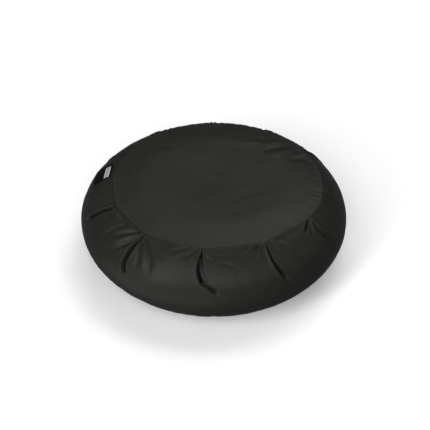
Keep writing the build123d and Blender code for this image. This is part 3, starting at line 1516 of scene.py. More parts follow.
    def build(self) -> Piece:
        """Makes the half band, its join allowances turned inwards.

        Returns:
            The half band.
        """
        angles, distances = self.angles(), self.distances()
        s, angle = np.meshgrid(distances, angles, indexing="ij")
        points, hidden = self.folded(angle, s)
        out = self.frame_at(angle, s)[3]
        flat = np.stack([np.radians(angle) * self.section.outer_radius, s], axis=-1)
        window = join_window(distances)
        window = np.where((distances > 8 * MM) & (distances < 270 * MM), window, 0.0)
        share = np.arange(1, self.join_rows + 1) / self.join_rows
        depth = (0.4 * MM + self.join_allowance * window)[:, None, None] * share[:, None]
        away = depth * np.array([1.0, 0.0])
        first = points[:, :1] - out[:, :1] * depth
        last = points[:, -1:] - out[:, -1:] * depth
        grid = np.concatenate([first[:, ::-1], points, last], axis=1)
        flat = np.concatenate([(flat[:, :1] - away)[:, ::-1], flat, flat[:, -1:] + away], axis=1)
        piece = sheet_piece(self.name, grid, flat)
        hidden = np.pad(hidden, ((0, 0), (self.join_rows, self.join_rows)))
        # The mask of painted shade in the folds, which darkens the cloth's colour there.
        shade = piece.data.attributes.new("hollow", "FLOAT", "POINT")
        shade.data.foreach_set("value", hidden.ravel().astype(np.float32))
        thicken(piece, self.thickness)
        return piece

    def declare(self, piece: Piece) -> None:
        """Works out the width of the straight strip that the half band is cut from, and does nothing with
        it.
        """
        across = self.section.length + self.seam.allowance + self.seam.roll


@dataclass
class BandFolds:
    """All the folds of the side band."""

    gathers: Gathers

    @staticmethod
    def left_join() -> list[Fold]:
        """Beside the left join: a long shallow dip and a ridge with its groove."""
        return pleat(
            186.8,
            mark((0, 3), (-2.3, 30), (-6.6, 78),
                 depth=(8, 6.4), width=(2.4, 3), lips=(2, -1.4), spread=5, tuck=0.8),
            mark((-8.7, 2), (-9, 24), (-9.6, 56),
                 depth=(-4.2, -4.2), width=(1.9, 1.9), fade=(0.08, 0.2)),
            mark((-7.9, 2), (-8.2, 24), (-8.8, 56),
                 depth=(2.6, 2.6), width=(1.9, 1.9), fade=(0.08, 0.2)),
        )

    @staticmethod
    def left_pleat() -> list[Fold]:
        """The pleat at the left: a deep groove under a leaning lip, with soft ridges beyond it."""
        return pleat(
            200.0,
            mark((1.6, -1), (-1.5, 26), (-3.2, 47), (-5.6, 79), (-7, 112),
                 depth=(5, 6), width=(24, 28), fade=(0.1, 0.5)),
            mark((1.8, 0), (-1.4, 26), (-3.2, 47), (-5.4, 76), (-6.8, 102),
                 depth=(18, 27), width=(3.2, 5), lips=(0.6, 3.8), spread=0.8, tuck=2.4, fade=(0.05, 0.3)),
            mark((5, 3), (10, 4), (15, 4), depth=(3.4, 2.4), width=(5, 5), fade=(0.3, 0.4)),
            mark((17, 4), (11.6, 14), (8, 28), (8.2, 43), (9.4, 60), (10.8, 76),
                 depth=(-3.4, -2.6), width=(4.4, 9), fade=(0.35, 0.55)),
            mark((20, 5), (16, 21), (13.6, 40), (12.8, 58), (13.4, 76),
                 depth=(4.2, 3), width=(3.2, 7), fade=(0.2, 0.5)),
            mark((5, 3), (5.6, 16), (4, 34), depth=(4.4, 2.4), width=(3.5, 6)),
        )

    @staticmethod
    def front_left_pleat() -> list[Fold]:
        """The longest pleat: its groove opens downwards, between creases that fan to the left and right."""
        return pleat(
            230.0,
            mark((-5.6, 2), (-10.4, 17), (-13.4, 34), (-16.6, 60),
                 depth=(-3.2, -2.2), width=(3, 8), fade=(0.2, 0.7)),
            mark((-0.8, -2), (-5.2, 11), (-9.8, 30), (-14.6, 52), (-18.6, 78),
                 depth=(6, 3.4), width=(2.8, 6.5), fade=(0.08, 0.5)),
            mark((0, 0), (-4.2, 18), (-8.6, 42), (-13.2, 68), (-16.8, 94),
                 depth=(-5, -3.6), width=(3, 9), fade=(0.08, 0.6)),
            mark((0.4, 8), (-2.6, 30), (-6.4, 56), (-10.8, 88),
                 depth=(6.6, 4.4), width=(2.8, 7.5), fade=(0.1, 0.5)),
            mark((0, 16), (-2.2, 42), (-5.8, 68), (-9.8, 98),
                 depth=(-4.2, -2.8), width=(2.6, 7), fade=(0.15, 0.5)),
            mark((1.3, -3), (0.8, 12), (0, 34), (-0.7, 60), (-1, 84), (-0.4, 100), (0.6, 112),
                 depth=(6, 29), width=(2, 7.8), lips=(0.8, 3), spread=0.8, tuck=2.2, fade=(0.05, 0.12)),
            mark((1.6, 12), (3.4, 36), (5, 62), (5.4, 86), depth=(5, 3), width=(2.6, 5)),
            mark((3.4, 18), (6, 38), (8, 62), (8.8, 92),
                 depth=(-2.8, -2.2), width=(2.6, 4.8), fade=(0.2, 0.4)),
            mark((1.8, 8), (5.6, 22), (9, 40), (11.2, 62), (12.4, 94),
                 depth=(6.4, 4.2), width=(2.2, 4.4), fade=(0.08, 0.4)),
            mark((4, 8), (9.4, 22), (12.8, 40), (15.6, 72),
                 depth=(-2.4, -1.6), width=(3.6, 7), fade=(0.15, 0.5)),
            mark((7, 8), (12.6, 24), (17.2, 44), (20, 70),
                 depth=(1.8, 1.2), width=(5, 9), fade=(0.2, 0.5)),
            mark((-20, 96), (-14, 112), (-9, 118), depth=(1.2, 1), width=(9, 11)),
        )

    @staticmethod
    def middle_pleat() -> list[Fold]:
        """The pleat in the middle: a groove that bends to the right at its foot, with a fan of creases."""
        return pleat(
            262.0,
            mark((0.8, -2), (0.9, 12), (0.7, 26), (0.9, 46), (2, 68), (4.2, 92),
                 depth=(4, 19), width=(1.8, 5.8), lips=(2.4, 1.6), spread=0.9, tuck=1.8, fade=(0.05, 0.14)),
            mark((1.1, 5), (1.5, 18), (2.2, 36), (3, 58),
                 depth=(14, 6), width=(2.7, 2.2), lips=(0, 1), spread=1.1, tuck=1, fade=(0.15, 0.4)),
            mark((3.4, 85), (6.8, 97), (9.8, 113),
                 depth=(7, 13), width=(3, 6.2), lips=(0, 2.4), tuck=1, fade=(0.06, 0.25)),
            mark((-1.2, 0), (-3, 9), (-5.2, 22), (-6.8, 38), depth=(5.4, 3.4), width=(2.4, 4.6)),
            mark((-2.4, 1), (-5.8, 8), (-9.2, 20), (-11, 30), depth=(-3.4, -1.8), width=(2.6, 4.6)),
            mark((-5, 1), (-8.4, 7), (-12.2, 16), (-15, 24), depth=(4.4, 2.2), width=(2.6, 4.6)),
            mark((1.8, 4), (3.4, 18), (6.2, 28), (10, 36),
                 depth=(3, 1), width=(2.4, 4), fade=(0.1, 0.6)),
            mark((8, 30), (12, 36), (16, 44), (19, 54),
                 depth=(1.6, 1.2), width=(3.6, 6), fade=(0.4, 0.5)),
            mark((2.4, 10), (8, 12), (14.6, 14), (24, 12),
                 depth=(1.2, 0.8), width=(2.4, 2.8), fade=(0.2, 0.3)),
            mark((-16, 30), (-18, 60), (-15, 92), depth=(-1.6, -1.2), width=(12, 16), fade=(0.4, 0.4)),
        )

    @staticmethod
    def front_right_pleat() -> list[Fold]:
        """A long pleat that sweeps to the right, with two deep creases at its left."""
        return pleat(
            294.8,
            mark((0.4, -2), (0.7, 8), (1.2, 26), (2.2, 52), (4.4, 84), (7.6, 114),
                 depth=(3.6, 17), width=(1.3, 5.8), lips=(0.8, 3), spread=1.1, tuck=1.6, fade=(0.05, 0.2)),
            mark((2.4, 28), (3.8, 44), (5.6, 62), depth=(2.4, 1.6), width=(2.2, 3.4)),
            mark((-2.4, -1), (-4.4, 8), (-6.2, 20), (-8, 40),
                 depth=(10, 5), width=(3, 6), tuck=0.8, fade=(0.05, 0.7)),
            mark((-0.8, 1), (-2.6, 10), (-3.8, 26), (-4, 44), depth=(-3.4, -1.8), width=(2.4, 4.6)),
            mark((-8, 0), (-9.8, 7), (-11.2, 16), (-12.6, 34),
                 depth=(7.4, 3), width=(2.8, 6), tuck=0.6, fade=(0.05, 0.7)),
            mark((1.2, 0), (2.8, 6), (5.4, 18), (8.2, 34), depth=(3.6, 2.2), width=(2.2, 4.8)),
            mark((2.6, 1), (5.6, 9), (9, 22), (12.8, 40), depth=(-1.6, -1), width=(2.4, 5)),
            mark((4, 5), (11, 7), (19, 7), (27, 5), depth=(0.8, 0.8), width=(8, 8), fade=(0.3, 0.2)),
            mark((6.4, 0), (9, 6), (11.6, 16), (13.6, 28), depth=(3, 1.8), width=(2.6, 4.6)),
            mark((-14, 50), (-10, 78), (-6, 100), depth=(-1.2, -1), width=(14, 18), fade=(0.4, 0.4)),
        )

    @staticmethod
    def right_pleat() -> list[Fold]:
        """The pleat at the right: a deep crease, then a long ridge with its groove."""
        return pleat(
            326.0,
            mark((-1.4, -2), (-2.8, 6), (-4.8, 15), (-7.2, 28),
                 depth=(13, 9), width=(4, 6), lips=(0.6, 1), tuck=1.4, fade=(0.05, 0.3)),
            mark((-0.6, 1), (-2, 18), (-3.6, 34), (-4.6, 52), depth=(6.4, 3.4), width=(2.8, 5.6)),
            mark((0.4, 0), (-0.6, 14), (-1.4, 30), depth=(-2.8, -1.8), width=(2.2, 4)),
            mark((0.6, 0), (1.4, 16), (2.8, 40), (5.8, 74), (9.6, 116),
                 depth=(-7, -5), width=(2.6, 4.6), fade=(0.06, 0.3)),
            mark((0.2, 12), (0.6, 28), (1.2, 46), (3.8, 78), (7.6, 118),
                 depth=(4.6, 4.4), width=(3, 5.4), fade=(0.1, 0.3)),
            mark((4.4, 0), (7.4, 8), (12, 22), (16, 44), depth=(2.8, 1.2), width=(2.8, 6)),
        )

    @staticmethod
    def right_join() -> list[Fold]:
        """Beside the right join: two shallow dips and the ridge between them."""
        return pleat(
            357.0,
            mark((0.2, 2), (-1.4, 22), (-1, 52), depth=(2.6, 1.4), width=(3, 6)),
            mark((-2.4, 2), (-3.4, 20), (-3.4, 48), depth=(-2.2, -1.4), width=(2.6, 5)),
            mark((-5, 2), (-6.6, 18), (-6, 40), depth=(2.4, 1.2), width=(3, 6)),
        )

    def front(self) -> list[Fold]:
        """The pleats in front, from the left join round to the right one."""
        pleats = (self.left_join, self.left_pleat, self.front_left_pleat, self.middle_pleat,
                  self.front_right_pleat, self.right_pleat, self.right_join)
        return [fold for folds in pleats for fold in folds()]

    @staticmethod
    def rear(angles: Sequence[float], seed: int = 8) -> list[Fold]:
        """The pleats behind: the same kinds of fold, each pleat different.

        Args:
            angles: the pleats' angles. The last, nearest the left join, is the deepest at its top.
            seed: picks their shapes.

        Returns:
            The folds of all the pleats.
        """
        random = np.random.default_rng(seed)
        deep = angles[-1]
        folds = []
        for at in angles:
            lean = random.uniform(-3.0, 3.0)
            length = random.uniform(78.0, 108.0)
            main = mark(
                *((0.3, -2), (0.2, 14), (lean * 0.3, length * 0.45), (lean, length)),
                depth=(3.0, random.uniform(9.0, 13.0)),
                width=(2.0, random.uniform(4.2, 5.4)),
                lips=(random.uniform(1.4, 3.2), random.uniform(1.4, 3.2)),
                tuck=random.uniform(1.4, 2.4),
                fade=(0.05, 0.2),
            )
            folds += pleat(at, main)
            if at == deep:
                top = mark((0.2, -2), (0, 8), (-0.8, 30),
                           depth=(20, 12), width=(3.6, 6), lips=(1, 1), tuck=1, fade=(0.05, 0.4))
                folds += pleat(at, top)
            for side in (-1.0, 1.0):
                reach = random.uniform(3.5, 5.0)
                many = int(random.integers(2, 5))
                for number in range(min(many, 2) if at == deep and side > 0 else many):
                    end = side * reach * (number + 1)
                    fall = random.uniform(30.0, 62.0)
                    valley = ((side * 0.8, -1), (end * 0.4, 8), (end * 0.8, fall * 0.5), (end, fall))
                    ridge = tuple((a + side * 0.35 * reach, s + 2) for a, s in valley)
                    depth = random.uniform(2.2, 4.0)
                    width = random.uniform(4.2, 6.6)
                    folds += pleat(
                        at,
                        mark(*valley, depth=(depth, depth * 0.6), width=(2.6, width)),
                        mark(*ridge, depth=(-0.7 * depth, -0.4 * depth), width=(2.8, width)),
                    )
        return folds

    def hem(self, start: float, sweep: float, length: float) -> list[Fold]:
        """The gathers that run up from the hem of one half.

        Args:
            start: angle of the half's first join.
            sweep: the turn to its second join.
            length: distance from the seam to the hem.

        Returns:
            One fold for each gather, of many lengths.
        """
        random = np.random.default_rng(self.gathers.seed + 1)
        folds = []
        for line in self.gathers.lines():
            rise = random.uniform(45.0, 150.0) * (0.6 if random.random() < 0.5 else 1.0)
            lean = random.uniform(-2.6, 2.6)
            depth = random.uniform(3.4, 7.5)
            width = random.uniform(5.5, 10.0)
            turned = (line - start) % TURN
            if not 2.0 < turned < sweep - 2.0:
                continue
            foot = length / MM - 14.0
            path = ((0, foot), (0.25 * lean, foot - 0.4 * rise), (lean, foot - rise))
            gather = mark(*path, depth=(depth, 0.5 * depth), width=(3.6, width), fade=(0.1, 0.6))
            folds += pleat(start + turned, gather)
        return folds


# --- Tape, elastic, thread and label ---


@dataclass
class SeamTape:
    """The binding folded up round the face seam's two allowances, and its stitches."""

    seam: FaceSeam
    cloth: float = 1.2 * MM
    tape: float = 0.7 * MM
    ease: float = 0.25 * MM
    rise: float = 8.5 * MM
    corner: float = 0.8 * MM
    steps: int = 512

    @property
    def edge(self) -> float:
        """Height of the allowances' raw edges."""
        return self.seam.height - self.seam.groove - self.seam.roll - self.seam.allowance

    def follow(self, points: Array) -> Array:
        """Moves a round ring of 1 metre radius onto the seam's own line."""
        return self.seam.point(bearing(points), radius_of(points) - 1.0, points[:, 2])

    def build(self) -> Piece:
        """Makes the binding.

        Returns:
            The binding.
        """
        leg = self.seam.gap + self.cloth + self.ease + self.tape / 2
        floor = self.edge - self.ease - self.tape / 2
        path = [(1.0 - leg, floor + self.rise), (1.0 - leg, floor + self.rise / 2)]
        for side, start in ((-1, 180), (1, 270)):
            for angle in range(start, start + 91, 30):
                turned = math.radians(angle)
                reach = 1.0 + side * (leg - self.corner) + self.corner * math.cos(turned)
                path.append((reach, floor + self.corner * (1 + math.sin(turned))))
        path += [(1.0 + leg, floor + self.rise / 2), (1.0 + leg, floor + self.rise)]
        piece = spun_ring("seam_binding_tape", outline_of(path, self.tape), self.steps)
        map_tape(piece, round_axis=True)
        reshape(piece, self.follow)
        return piece

    def stitches(self, row: StitchRow) -> Piece:
        """The stitch line, seen on both sides of the binding.

        Args:
            row: the kind of stitch.

        Returns:
            The stitches.
        """
        angle = np.linspace(0.0, TURN, 721)[:-1]
        side = self.seam.gap + self.cloth + self.ease + self.tape
        height = self.edge + 0.35 * self.rise
        frames = [
            row.frames_along(self.seam.point(angle, way * side, height), ring(angle, way, 0.0), True)
            for way in (-1.0, 1.0)
        ]
        return row.lay("seam_stitches", np.vstack(frames))


@dataclass
class JoinTape:
    """The binding round the allowances of one join of the side band, and its stitches."""

    band: SideBand
    angle: float
    name: str
    first: float = 22.0 * MM
    last: float = 256.0 * MM
    depth: float = 10.6 * MM
    leg: float = 6.5 * MM
    cloth: float = 1.2 * MM
    tape: float = 0.7 * MM
    ease: float = 0.3 * MM
    corner: float = 0.6 * MM
    stitch_rise: float = 2.4 * MM
    steps: int = 72

    def place(self, points: Array) -> Array:
        """Bends a straight bar onto the join: X runs down it, Y across it and Z outwards.

        Args:
            points: points of the bar.

        Returns:
            Their places on the join.
        """
        s = self.first + points[:, 0]
        spot, around, _, out = self.band.frame_at(np.full_like(s, self.angle), s)
        moved = spot + points[:, 1, None] * around + points[:, 2, None] * out
        return self.band.gathers.move(moved)

    def sink(self, s: Array) -> Array:
        """Depth of the allowances' raw edges below the band, at distances below the seam."""
        return self.depth * join_window(s) + 0.6 * MM

    def stand(self, s: Array, rise: Array | float) -> Array:
        """Height out of the band of a point at a rise over the tape's fold, less where it is shallow."""
        sink = self.sink(s)
        return rise * np.minimum(1.0, sink / (self.leg + 3 * MM)) - sink

    def build(self) -> Piece:
        """Makes the binding.

        Returns:
            The binding.
        """
        side = self.band.seam.gap + self.cloth + self.ease + self.tape / 2
        half = [(side, self.leg), (side, self.leg / 2), (side, self.corner), (side - self.corner, 0.0)]
        outline = outline_of([*((-y, z) for y, z in half), *half[::-1]], self.tape)
        piece = extruded_bar(f"{self.name}_join_tape", outline, self.last - self.first, self.steps)
        map_tape(piece, round_axis=False)

        def settle(points: Array) -> Array:
            """Sinks the bar to the allowances' edges and lays it on the join."""
            along, across, rise = points.T
            return self.place(np.stack([along, across, self.stand(self.first + along, rise)], axis=1))

        reshape(piece, settle)
        return piece

    def stitches(self, row: StitchRow) -> Piece:
        """The stitch line, seen on both sides of the binding.

        Args:
            row: the kind of stitch.

        Returns:
            The stitches.
        """
        s = np.linspace(self.first + 4 * MM, self.last - 4 * MM, 200)
        side = self.band.seam.gap + self.cloth + self.ease + self.tape
        around = self.band.frame_at(np.full_like(s, self.angle), s)[1]
        frames = []
        for way in (-1.0, 1.0):
            spots = [s - self.first, np.full_like(s, way * side), self.stand(s, self.stitch_rise)]
            line = self.place(np.stack(spots, axis=1))
            frames.append(row.frames_along(line, way * around, closed=False))
        return row.lay(f"{self.name}_join_stitches", np.vstack(frames))


@dataclass
class Hem:
    """The elastic hem behind: casing tape, elastic, bar tacks and stitches, gathered together."""

    gathers: Gathers
    mouth_radius: float
    outer_radius: float
    height: float
    tape: float = 1.0 * MM
    elastic_width: float = 15.0 * MM
    elastic_thickness: float = 1.0 * MM
    elastic_low: float = 1.45 * MM
    lap: float = 30.0 * MM
    lift: float = 0.35 * MM
    steps: int = 640

    @property
    def elastic_inner(self) -> float:
        """Inner radius of the elastic, clear of the casing's fold."""
        return self.mouth_radius + 2 * self.tape + 0.4 * MM

    def casing(self) -> Piece:
        """Makes the casing tape, folded at the mouth.

        Returns:
            The tape.
        """
        low, high = self.tape / 2 + self.lift, self.height - self.tape / 2
        bend = (high - low) / 2
        centre = self.mouth_radius + self.tape / 2 + bend
        reach = (self.outer_radius - centre) / 6
        path = [(self.outer_radius - k * reach, high) for k in range(6)]
        for k in range(7):
            turned = math.pi / 2 + math.pi * k / 6
            path.append((centre + bend * math.cos(turned), low + bend + bend * math.sin(turned)))
        path += [(centre + k * reach, low) for k in range(1, 7)]
        piece = spun_ring("hem_tape", outline_of(path, self.tape), self.steps)
        map_tape(piece, round_axis=True)
        reshape(piece, self.gathers.move)
        return piece

    def elastic(self) -> Piece:
        """Makes the flat elastic, with its lapped end over the other at the right join.

        Returns:
            The elastic.
        """
        half = self.elastic_thickness / 2
        steps = np.arange(5) / 4
        path = [(self.elastic_inner + k * self.elastic_width, self.elastic_low + half) for k in steps]
        piece = spun_ring("mouth_elastic", outline_of(path, 0.9 * self.elastic_thickness), self.steps)
        outline = [
            (
                self.elastic_inner + y * self.elastic_width,
                self.elastic_low + self.elastic_thickness * (1.5 + z),
            )
            for y, z in outline_of([(k, 0.0) for k in steps], 0.9)
        ]
        lap = extruded_bar("elastic_lap", outline, self.lap, 10)
        middle = self.elastic_inner + self.elastic_width / 2
        reshape(lap, lambda points: ring(np.degrees(points[:, 0] / middle), points[:, 1], points[:, 2]))
        choose(piece)
        lap.select_set(True)
        bpy.ops.object.join()
        map_tape(piece, round_axis=True)
        reshape(piece, self.gathers.move)
        return piece

    def bar_tacks(self) -> Piece:
        """Three dense bars of thread across the lapped elastic.

        Returns:
            The bars.
        """
        row = StitchRow(length=2.0 * MM, pitch=0.8 * MM, radius=0.2 * MM)
        inner = self.elastic_inner + 2 * MM
        reach = np.linspace(inner, inner + 11 * MM, 15)
        up = np.tile([0.0, 0.0, 1.0], (len(reach), 1))
        frames = []
        for angle in (1.75, 3.5, 5.25):
            line = ring(np.full_like(reach, angle), reach, 3.5 * MM)
            tack = row.frames_along(self.gathers.move(line), up, closed=False)
            frames.append(tack[:, [0, 2, 1, 3]])
        return row.lay("elastic_bar_tacks", np.vstack(frames))

    def stitches(self, row: StitchRow) -> Piece:
        """The stitch line that closes the casing on the band, seen above and below it.

        Args:
            row: the kind of stitch.

        Returns:
            The stitches.
        """
        angle = np.linspace(0.0, TURN, 2401)[:-1]
        frames = []
        for height, way in ((self.height, 1.0), (self.lift, -1.0)):
            line = ring(angle, self.outer_radius - 3 * MM, height)
            out = np.tile([0.0, 0.0, way], (len(angle), 1))
            frames.append(row.frames_along(self.gathers.move(line), out, closed=True))
        return row.lay("hem_stitches", np.vstack(frames))


@dataclass
class SideLabel:
    """The folded woven label, lying back on the rear half of the band."""

    band: SideBand
    root_angle: float
    top: float = 4.0 * MM
    width: float = 50.0 * MM
    length: float = 62.0 * MM
    leaf: float = 0.4 * MM
    apart: float = 0.55 * MM
    clearance: float = 1.6 * MM
    lean: float = math.radians(1.6)

    def build(self) -> Piece:
        """Makes the label as one strip of ribbon folded at its free end.

        Returns:
            The label.
        """
        fold = math.pi * self.apart
        total = 2 * self.length + fold
        along = np.interp(np.arange(88), [0, 40, 47, 87], [0.0, self.length, self.length + fold, total])
        u, v = np.meshgrid(along, np.linspace(0.0, self.width, 36), indexing="ij")
        turned = np.clip((u - self.length) / self.apart, 0.0, math.pi)
        upper = u > self.length + fold
        reach = np.where(upper, total - u, np.minimum(u, self.length)) + self.apart * np.sin(turned)
        lift = np.where(turned > 0, self.apart * (1 - np.cos(turned)), 0.0)
        lift = np.where(upper, 2 * self.apart, lift)
        lift = lift * (1.0 - 0.55 * bell(reach / (7 * MM)))
        share = reach / self.length
        side = (v - self.width / 2) / self.width
        lift = lift + self.clearance + 0.5 * MM * np.sin(3.0 * share + 4.0 * side) * share
        s = self.top + v
        place, around, _, out = self.band.frame_at(np.full_like(s, self.root_angle), s)
        away = out * math.sin(self.lean) + around * math.cos(self.lean)
        points = place + (lift + self.band.puff(s))[..., None] * out - (reach + 0.5 * MM)[..., None] * away
        piece = sheet_piece("woven_label", points, np.stack([reach, v], axis=-1))
        thicken(piece, self.leaf)
        return piece

    def declare(self, piece: Piece) -> None:
        """Works out the length of the ribbon that the label is folded from, and does nothing with it."""
        ribbon = 2 * self.length + math.pi * self.apart


# --- Studio ---


def area_lamp(name: str, size: Point, power: float) -> Piece:
    """Makes a rectangular area light.

    Args:
        name: the light's name.
        size: its width and height.
        power: its power in watts.

    Returns:
        The light.
    """
    data = bpy.data.lights.new(name, "AREA")
    data.energy = power
    data.shape = "RECTANGLE"
    data.size, data.size_y = size
    return add_object(name, data)


def heading(azimuth: float, elevation: float) -> Vector:
    """The direction to an azimuth and an elevation, in degrees."""
    a, e = math.radians(azimuth), math.radians(elevation)
    return Vector((math.cos(a) * math.cos(e), math.sin(a) * math.cos(e), math.sin(e)))


@dataclass(frozen=True)
class SoftLight:
    """A rectangular area light, aimed at the cover.

    Attributes:
        name: the light's name.
        azimuth: where it stands, in degrees anticlockwise from +X seen from above.
        elevation: its height above the horizon, in degrees.
        power: power in watts.
        size: its width and height.
        distance: distance from the cover.
    """

    name: str
    azimuth: float
    elevation: float
    power: float
    size: Point = (5.8, 5.8)
    distance: float = 10.0

    def build(self, target: Vector) -> None:
        """Makes the light.

        Args:
            target: the point that it is aimed at.
        """
        lamp = area_lamp(self.name, self.size, self.power)
        way = heading(self.azimuth, self.elevation)
        lamp.location = target + way * self.distance
        lamp.rotation_euler = (-way).to_track_quat("-Z", "Y").to_euler()


@dataclass(frozen=True)
class FloorCard:
    """A bright card lying on the floor, which lights the cover from below.

    Attributes:
        azimuth: where it lies, in degrees anticlockwise from +X seen from above.
        reach: distance of its middle from the cover's axis.
        size: its length along the cover's edge and its width.
        power: power in watts.
    """

    azimuth: float = 241.0
    reach: float = 0.72
    size: Point = (0.8, 0.6)
    power: float = 1.35

    def build(self, floor_height: float) -> None:
        """Makes the card as a light that faces up and isn't seen itself.

        Args:
            floor_height: height of the floor.
        """
        lamp = area_lamp("floor card", self.size, self.power)
        clearance = Vector((0.0, 0.0, floor_height + 4 * MM))
        lamp.location = heading(self.azimuth, 0.0) * self.reach + clearance
        lamp.rotation_euler = (math.pi, 0.0, math.radians(self.azimuth + 90.0))
        lamp.visible_camera = False


@dataclass(frozen=True)
class Studio:
    """Plain pale floor, soft light and the camera.

    Attributes:
        elevation: the camera's height above the horizon, in degrees.
        distance: its distance from the middle of the cover.
        lens: its focal length in millimetres.
        shift: its shift, which sets the cover a little off the middle.
        floor_shade: how pale the floor is.
        floor_bounce: how much of the light it throws back on the cover.
        sky: brightness of the surroundings.
        lights: the soft lights.
        card: the card on the floor.
    """

    elevation: float = 38.17
    distance: float = 3.0
    lens: float = 89.5
    shift: Point = (0.0028, -0.0037)
    floor_shade: float = 0.96
    floor_bounce: float = 0.12
    sky: float = 0.02
    lights: tuple[SoftLight, ...] = (
        SoftLight("low window", 228.0, 8.0, 560.0, (3.1, 9.2)),
        SoftLight("high window", 225.0, 25.0, 252.0, (3.1, 9.2)),
        SoftLight("skylight", 224.0, 48.0, 230.0, (3.1, 6.0)),
        SoftLight("front", 270.0, 28.0, 470.0),
        SoftLight("front high", 270.0, 50.0, 90.0),
        SoftLight("front right", 315.0, 28.0, 148.0),
        SoftLight("right", 0.0, 28.0, 70.0),
        SoftLight("back right", 47.0, 54.0, 310.0),
        SoftLight("back high", 88.0, 56.0, 270.0),
        SoftLight("back left", 135.0, 32.0, 34.0),
    )
    card: FloorCard = FloorCard()

    def lay_floor(self, height: float) -> None:
        """Makes the floor, which looks paler than the light that it throws back on the cover.

        Args:
            height: height of the floor.
        """
        bpy.ops.object.select_all(action="DESELECT")
        bpy.ops.mesh.primitive_plane_add(size=60.0, location=(0, 0, height))
        floor = bpy.context.object
        floor.name = "floor"
        material, nodes = new_material("floor")
        shader = material.node_tree.nodes["Principled BSDF"]
        shader.inputs["Roughness"].default_value = 0.9
        seen = nodes.add("ShaderNodeLightPath").outputs["Is Camera Ray"]
        colour = nodes.blend((self.floor_bounce,) * 3, (self.floor_shade,) * 3, seen)
        nodes.join(colour, shader.inputs["Base Color"])
        dress(floor, material)

    def set_camera(self, middle: Vector) -> None:
        """Makes the camera.

        Args:
            middle: the point that it looks at.
        """
        data = bpy.data.cameras.new("camera")
        data.lens = self.lens
        data.sensor_width = 36.0
        data.shift_x, data.shift_y = self.shift
        data.clip_end = 100.0
        camera = add_object("camera", data)
        way = heading(270.0, self.elevation)
        camera.location = middle + self.distance * way
        camera.rotation_euler = (-way).to_track_quat("-Z", "Y").to_euler()
        bpy.context.scene.camera = camera

    def build(self, middle: Vector, floor_height: float) -> None:
        """Makes the floor, the lights and the camera.

        Args:
            middle: the point that the camera looks at.
            floor_height: height of the floor.
        """
        scene = bpy.context.scene
        scene.view_settings.view_transform = "Standard"
        scene.world = bpy.data.worlds.new("studio")
        scene.world.use_nodes = True
        backdrop = scene.world.node_tree.nodes["Background"]
        backdrop.inputs["Color"].default_value = (1.0, 1.0, 1.0, 1.0)
        backdrop.inputs["Strength"].default_value = self.sky
        self.lay_floor(floor_height)
        for light in self.lights:
            light.build(middle)
        self.card.build(floor_height)
        self.set_camera(middle)


# --- The whole cover ---


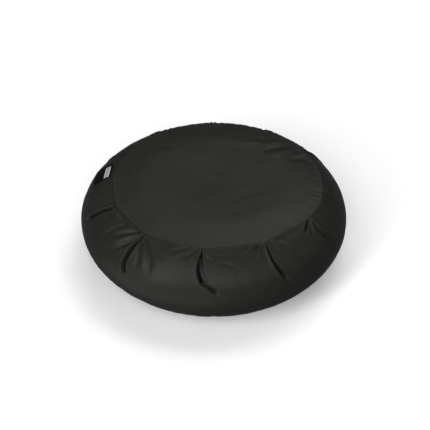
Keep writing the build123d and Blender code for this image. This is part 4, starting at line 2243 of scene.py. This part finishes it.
@dataclass
class Cover:
    """All the pieces of the cover, worked out from the frame.

    Attributes:
        right_join: angle of the right join, in degrees.
        left_join: angle of the left join, where the label is caught.
        rear_pleats: angles of the pleats behind.
        front_dense: angles in front round which the cloth has finer faces.
        finishes: every material by name.
    """

    right_join: float = 0.0
    left_join: float = 175.5
    rear_pleats: tuple[float, ...] = (29.0, 60.0, 91.0, 123.0, 153.0)
    front_dense: tuple[float, ...] = (186.0, 198.0, 215.0, 225.0, 231.0, 264.0, 297.0, 324.0, 332.0)
    finishes: dict[str, Material] = field(default_factory=dict)

    def __post_init__(self) -> None:
        """Reads the frame's boxes."""
        low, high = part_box("side_band_front")
        casing_low, casing_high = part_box("hem_casing")
        self.section = BandSection(outer_radius=-low[0], bottom=low[2])
        self.seam = FaceSeam(height=high[2] - 1.5 * MM)
        self.outer = casing_high[0]
        self.mouth = self.outer - 28.0 * MM
        self.casing_height = casing_high[2] - casing_low[2]
        self.gathers = Gathers(self.outer, self.section.outer_radius - 25 * MM)

    def make_finishes(self) -> None:
        """Makes every material once."""
        groups = {"weave": Groups.weave(), "handling": Groups.handling()}
        cloths = (
            ClothFinish("cover cloth", (0.0128, 0.0123, 0.0112), (0.019, 0.0183, 0.0167),
                        roughness=0.4, specular=0.09),
            ClothFinish("binding tape", (0.011, 0.0106, 0.01), (0.018, 0.0175, 0.0165),
                        pitch=1.6 * MM, grain=0.5, roughness=0.7, specular=0.14),
            ClothFinish("hem tape", (0.012, 0.0116, 0.011), (0.019, 0.0184, 0.0174),
                        pitch=1.4 * MM, grain=0.4, roughness=0.65, specular=0.14),
            ClothFinish("elastic", (0.018, 0.018, 0.018), (0.03, 0.03, 0.03),
                        pitch=2.2 * MM, grain=0.8, roughness=0.6, specular=0.2),
            ClothFinish("thread", (0.022, 0.0215, 0.0205), (0.034, 0.033, 0.0315),
                        pitch=0.5 * MM, grain=0.3, roughness=0.5, specular=0.3),
        )
        self.finishes = {cloth.name: cloth.build(groups) for cloth in cloths}
        label = LabelFinish()
        self.finishes[label.name] = label.build(groups)

    def make_face(self) -> None:
        """The face panel."""
        panel = FacePanel(self.seam)
        piece = panel.build()
        dress(piece, self.finishes["cover cloth"])
        enter(piece, Body.COVER, "cover_cloth", "face_panel")
        panel.declare(piece)

    def make_bands(self) -> None:
        """The two halves of the side band."""
        folds = BandFolds(self.gathers)
        half = self.left_join - self.right_join
        shapes = (self.section, self.seam, self.gathers)
        bands = []
        for name, start, sweep, pleats, dense in (
            ("rear", self.right_join, half, folds.rear(self.rear_pleats), self.rear_pleats),
            ("front", self.left_join, TURN - half, folds.front(), self.front_dense),
        ):
            pleats += folds.hem(start, sweep, self.section.length)
            band = SideBand(f"{name}_band_cloth", start, sweep, *shapes, pleats, dense)
            piece = band.build()
            dress(piece, self.finishes["cover cloth"])
            enter(piece, Body.COVER, "cover_cloth", f"side_band_{name}")
            band.declare(piece)
            bands.append(band)
        self.rear, self.front = bands

    def make_sewing(self) -> None:
        """The bindings inside, their stitches, and the elastic hem."""
        row = StitchRow()
        tape = SeamTape(self.seam)
        joins = (
            JoinTape(self.rear, self.right_join, "right"),
            JoinTape(self.front, self.left_join, "left"),
        )
        hem = Hem(self.gathers, self.mouth, self.outer, self.casing_height)
        pieces = [
            (tape.build(), "binding tape", "face_seam_binding"),
            (tape.stitches(row), "thread", "face_seam_thread"),
            (hem.casing(), "hem tape", "hem_casing"),
            (hem.stitches(row), "thread", "hem_thread"),
            (hem.elastic(), "elastic", "hem_elastic"),
            (hem.bar_tacks(), "thread", "elastic_bartacks"),
        ]
        for join in joins:
            pieces.append((join.build(), "binding tape", f"{join.name}_join_binding"))
            pieces.append((join.stitches(row), "thread", f"{join.name}_join_thread"))
        for piece, finish, node in pieces:
            dress(piece, self.finishes[finish])
            enter(piece, Body.COVER, finish.replace(" ", "_"), node)

    def make_label(self) -> None:
        """The folded label."""
        label = SideLabel(self.rear, self.left_join)
        piece = label.build()
        dress(piece, self.finishes["label ribbon"])
        enter(piece, Body.LABEL, "label_ribbon", "side_label")
        label.declare(piece)

    def build(self) -> None:
        """Makes every piece in order."""
        self.make_finishes()
        self.make_face()
        self.make_bands()
        self.make_sewing()
        self.make_label()


def main() -> None:
    """Loads the frame, builds the cover and the studio."""
    logging.basicConfig(level=logging.INFO, format="%(name)s: %(message)s")
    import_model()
    bpy.ops.object.select_all(action="DESELECT")
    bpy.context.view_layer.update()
    cover = Cover()
    Studio().build(Vector((0.0, 0.0, cover.section.middle)), 0.0)
    cover.build()
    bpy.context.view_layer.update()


if __name__ == "__main__":
    main()
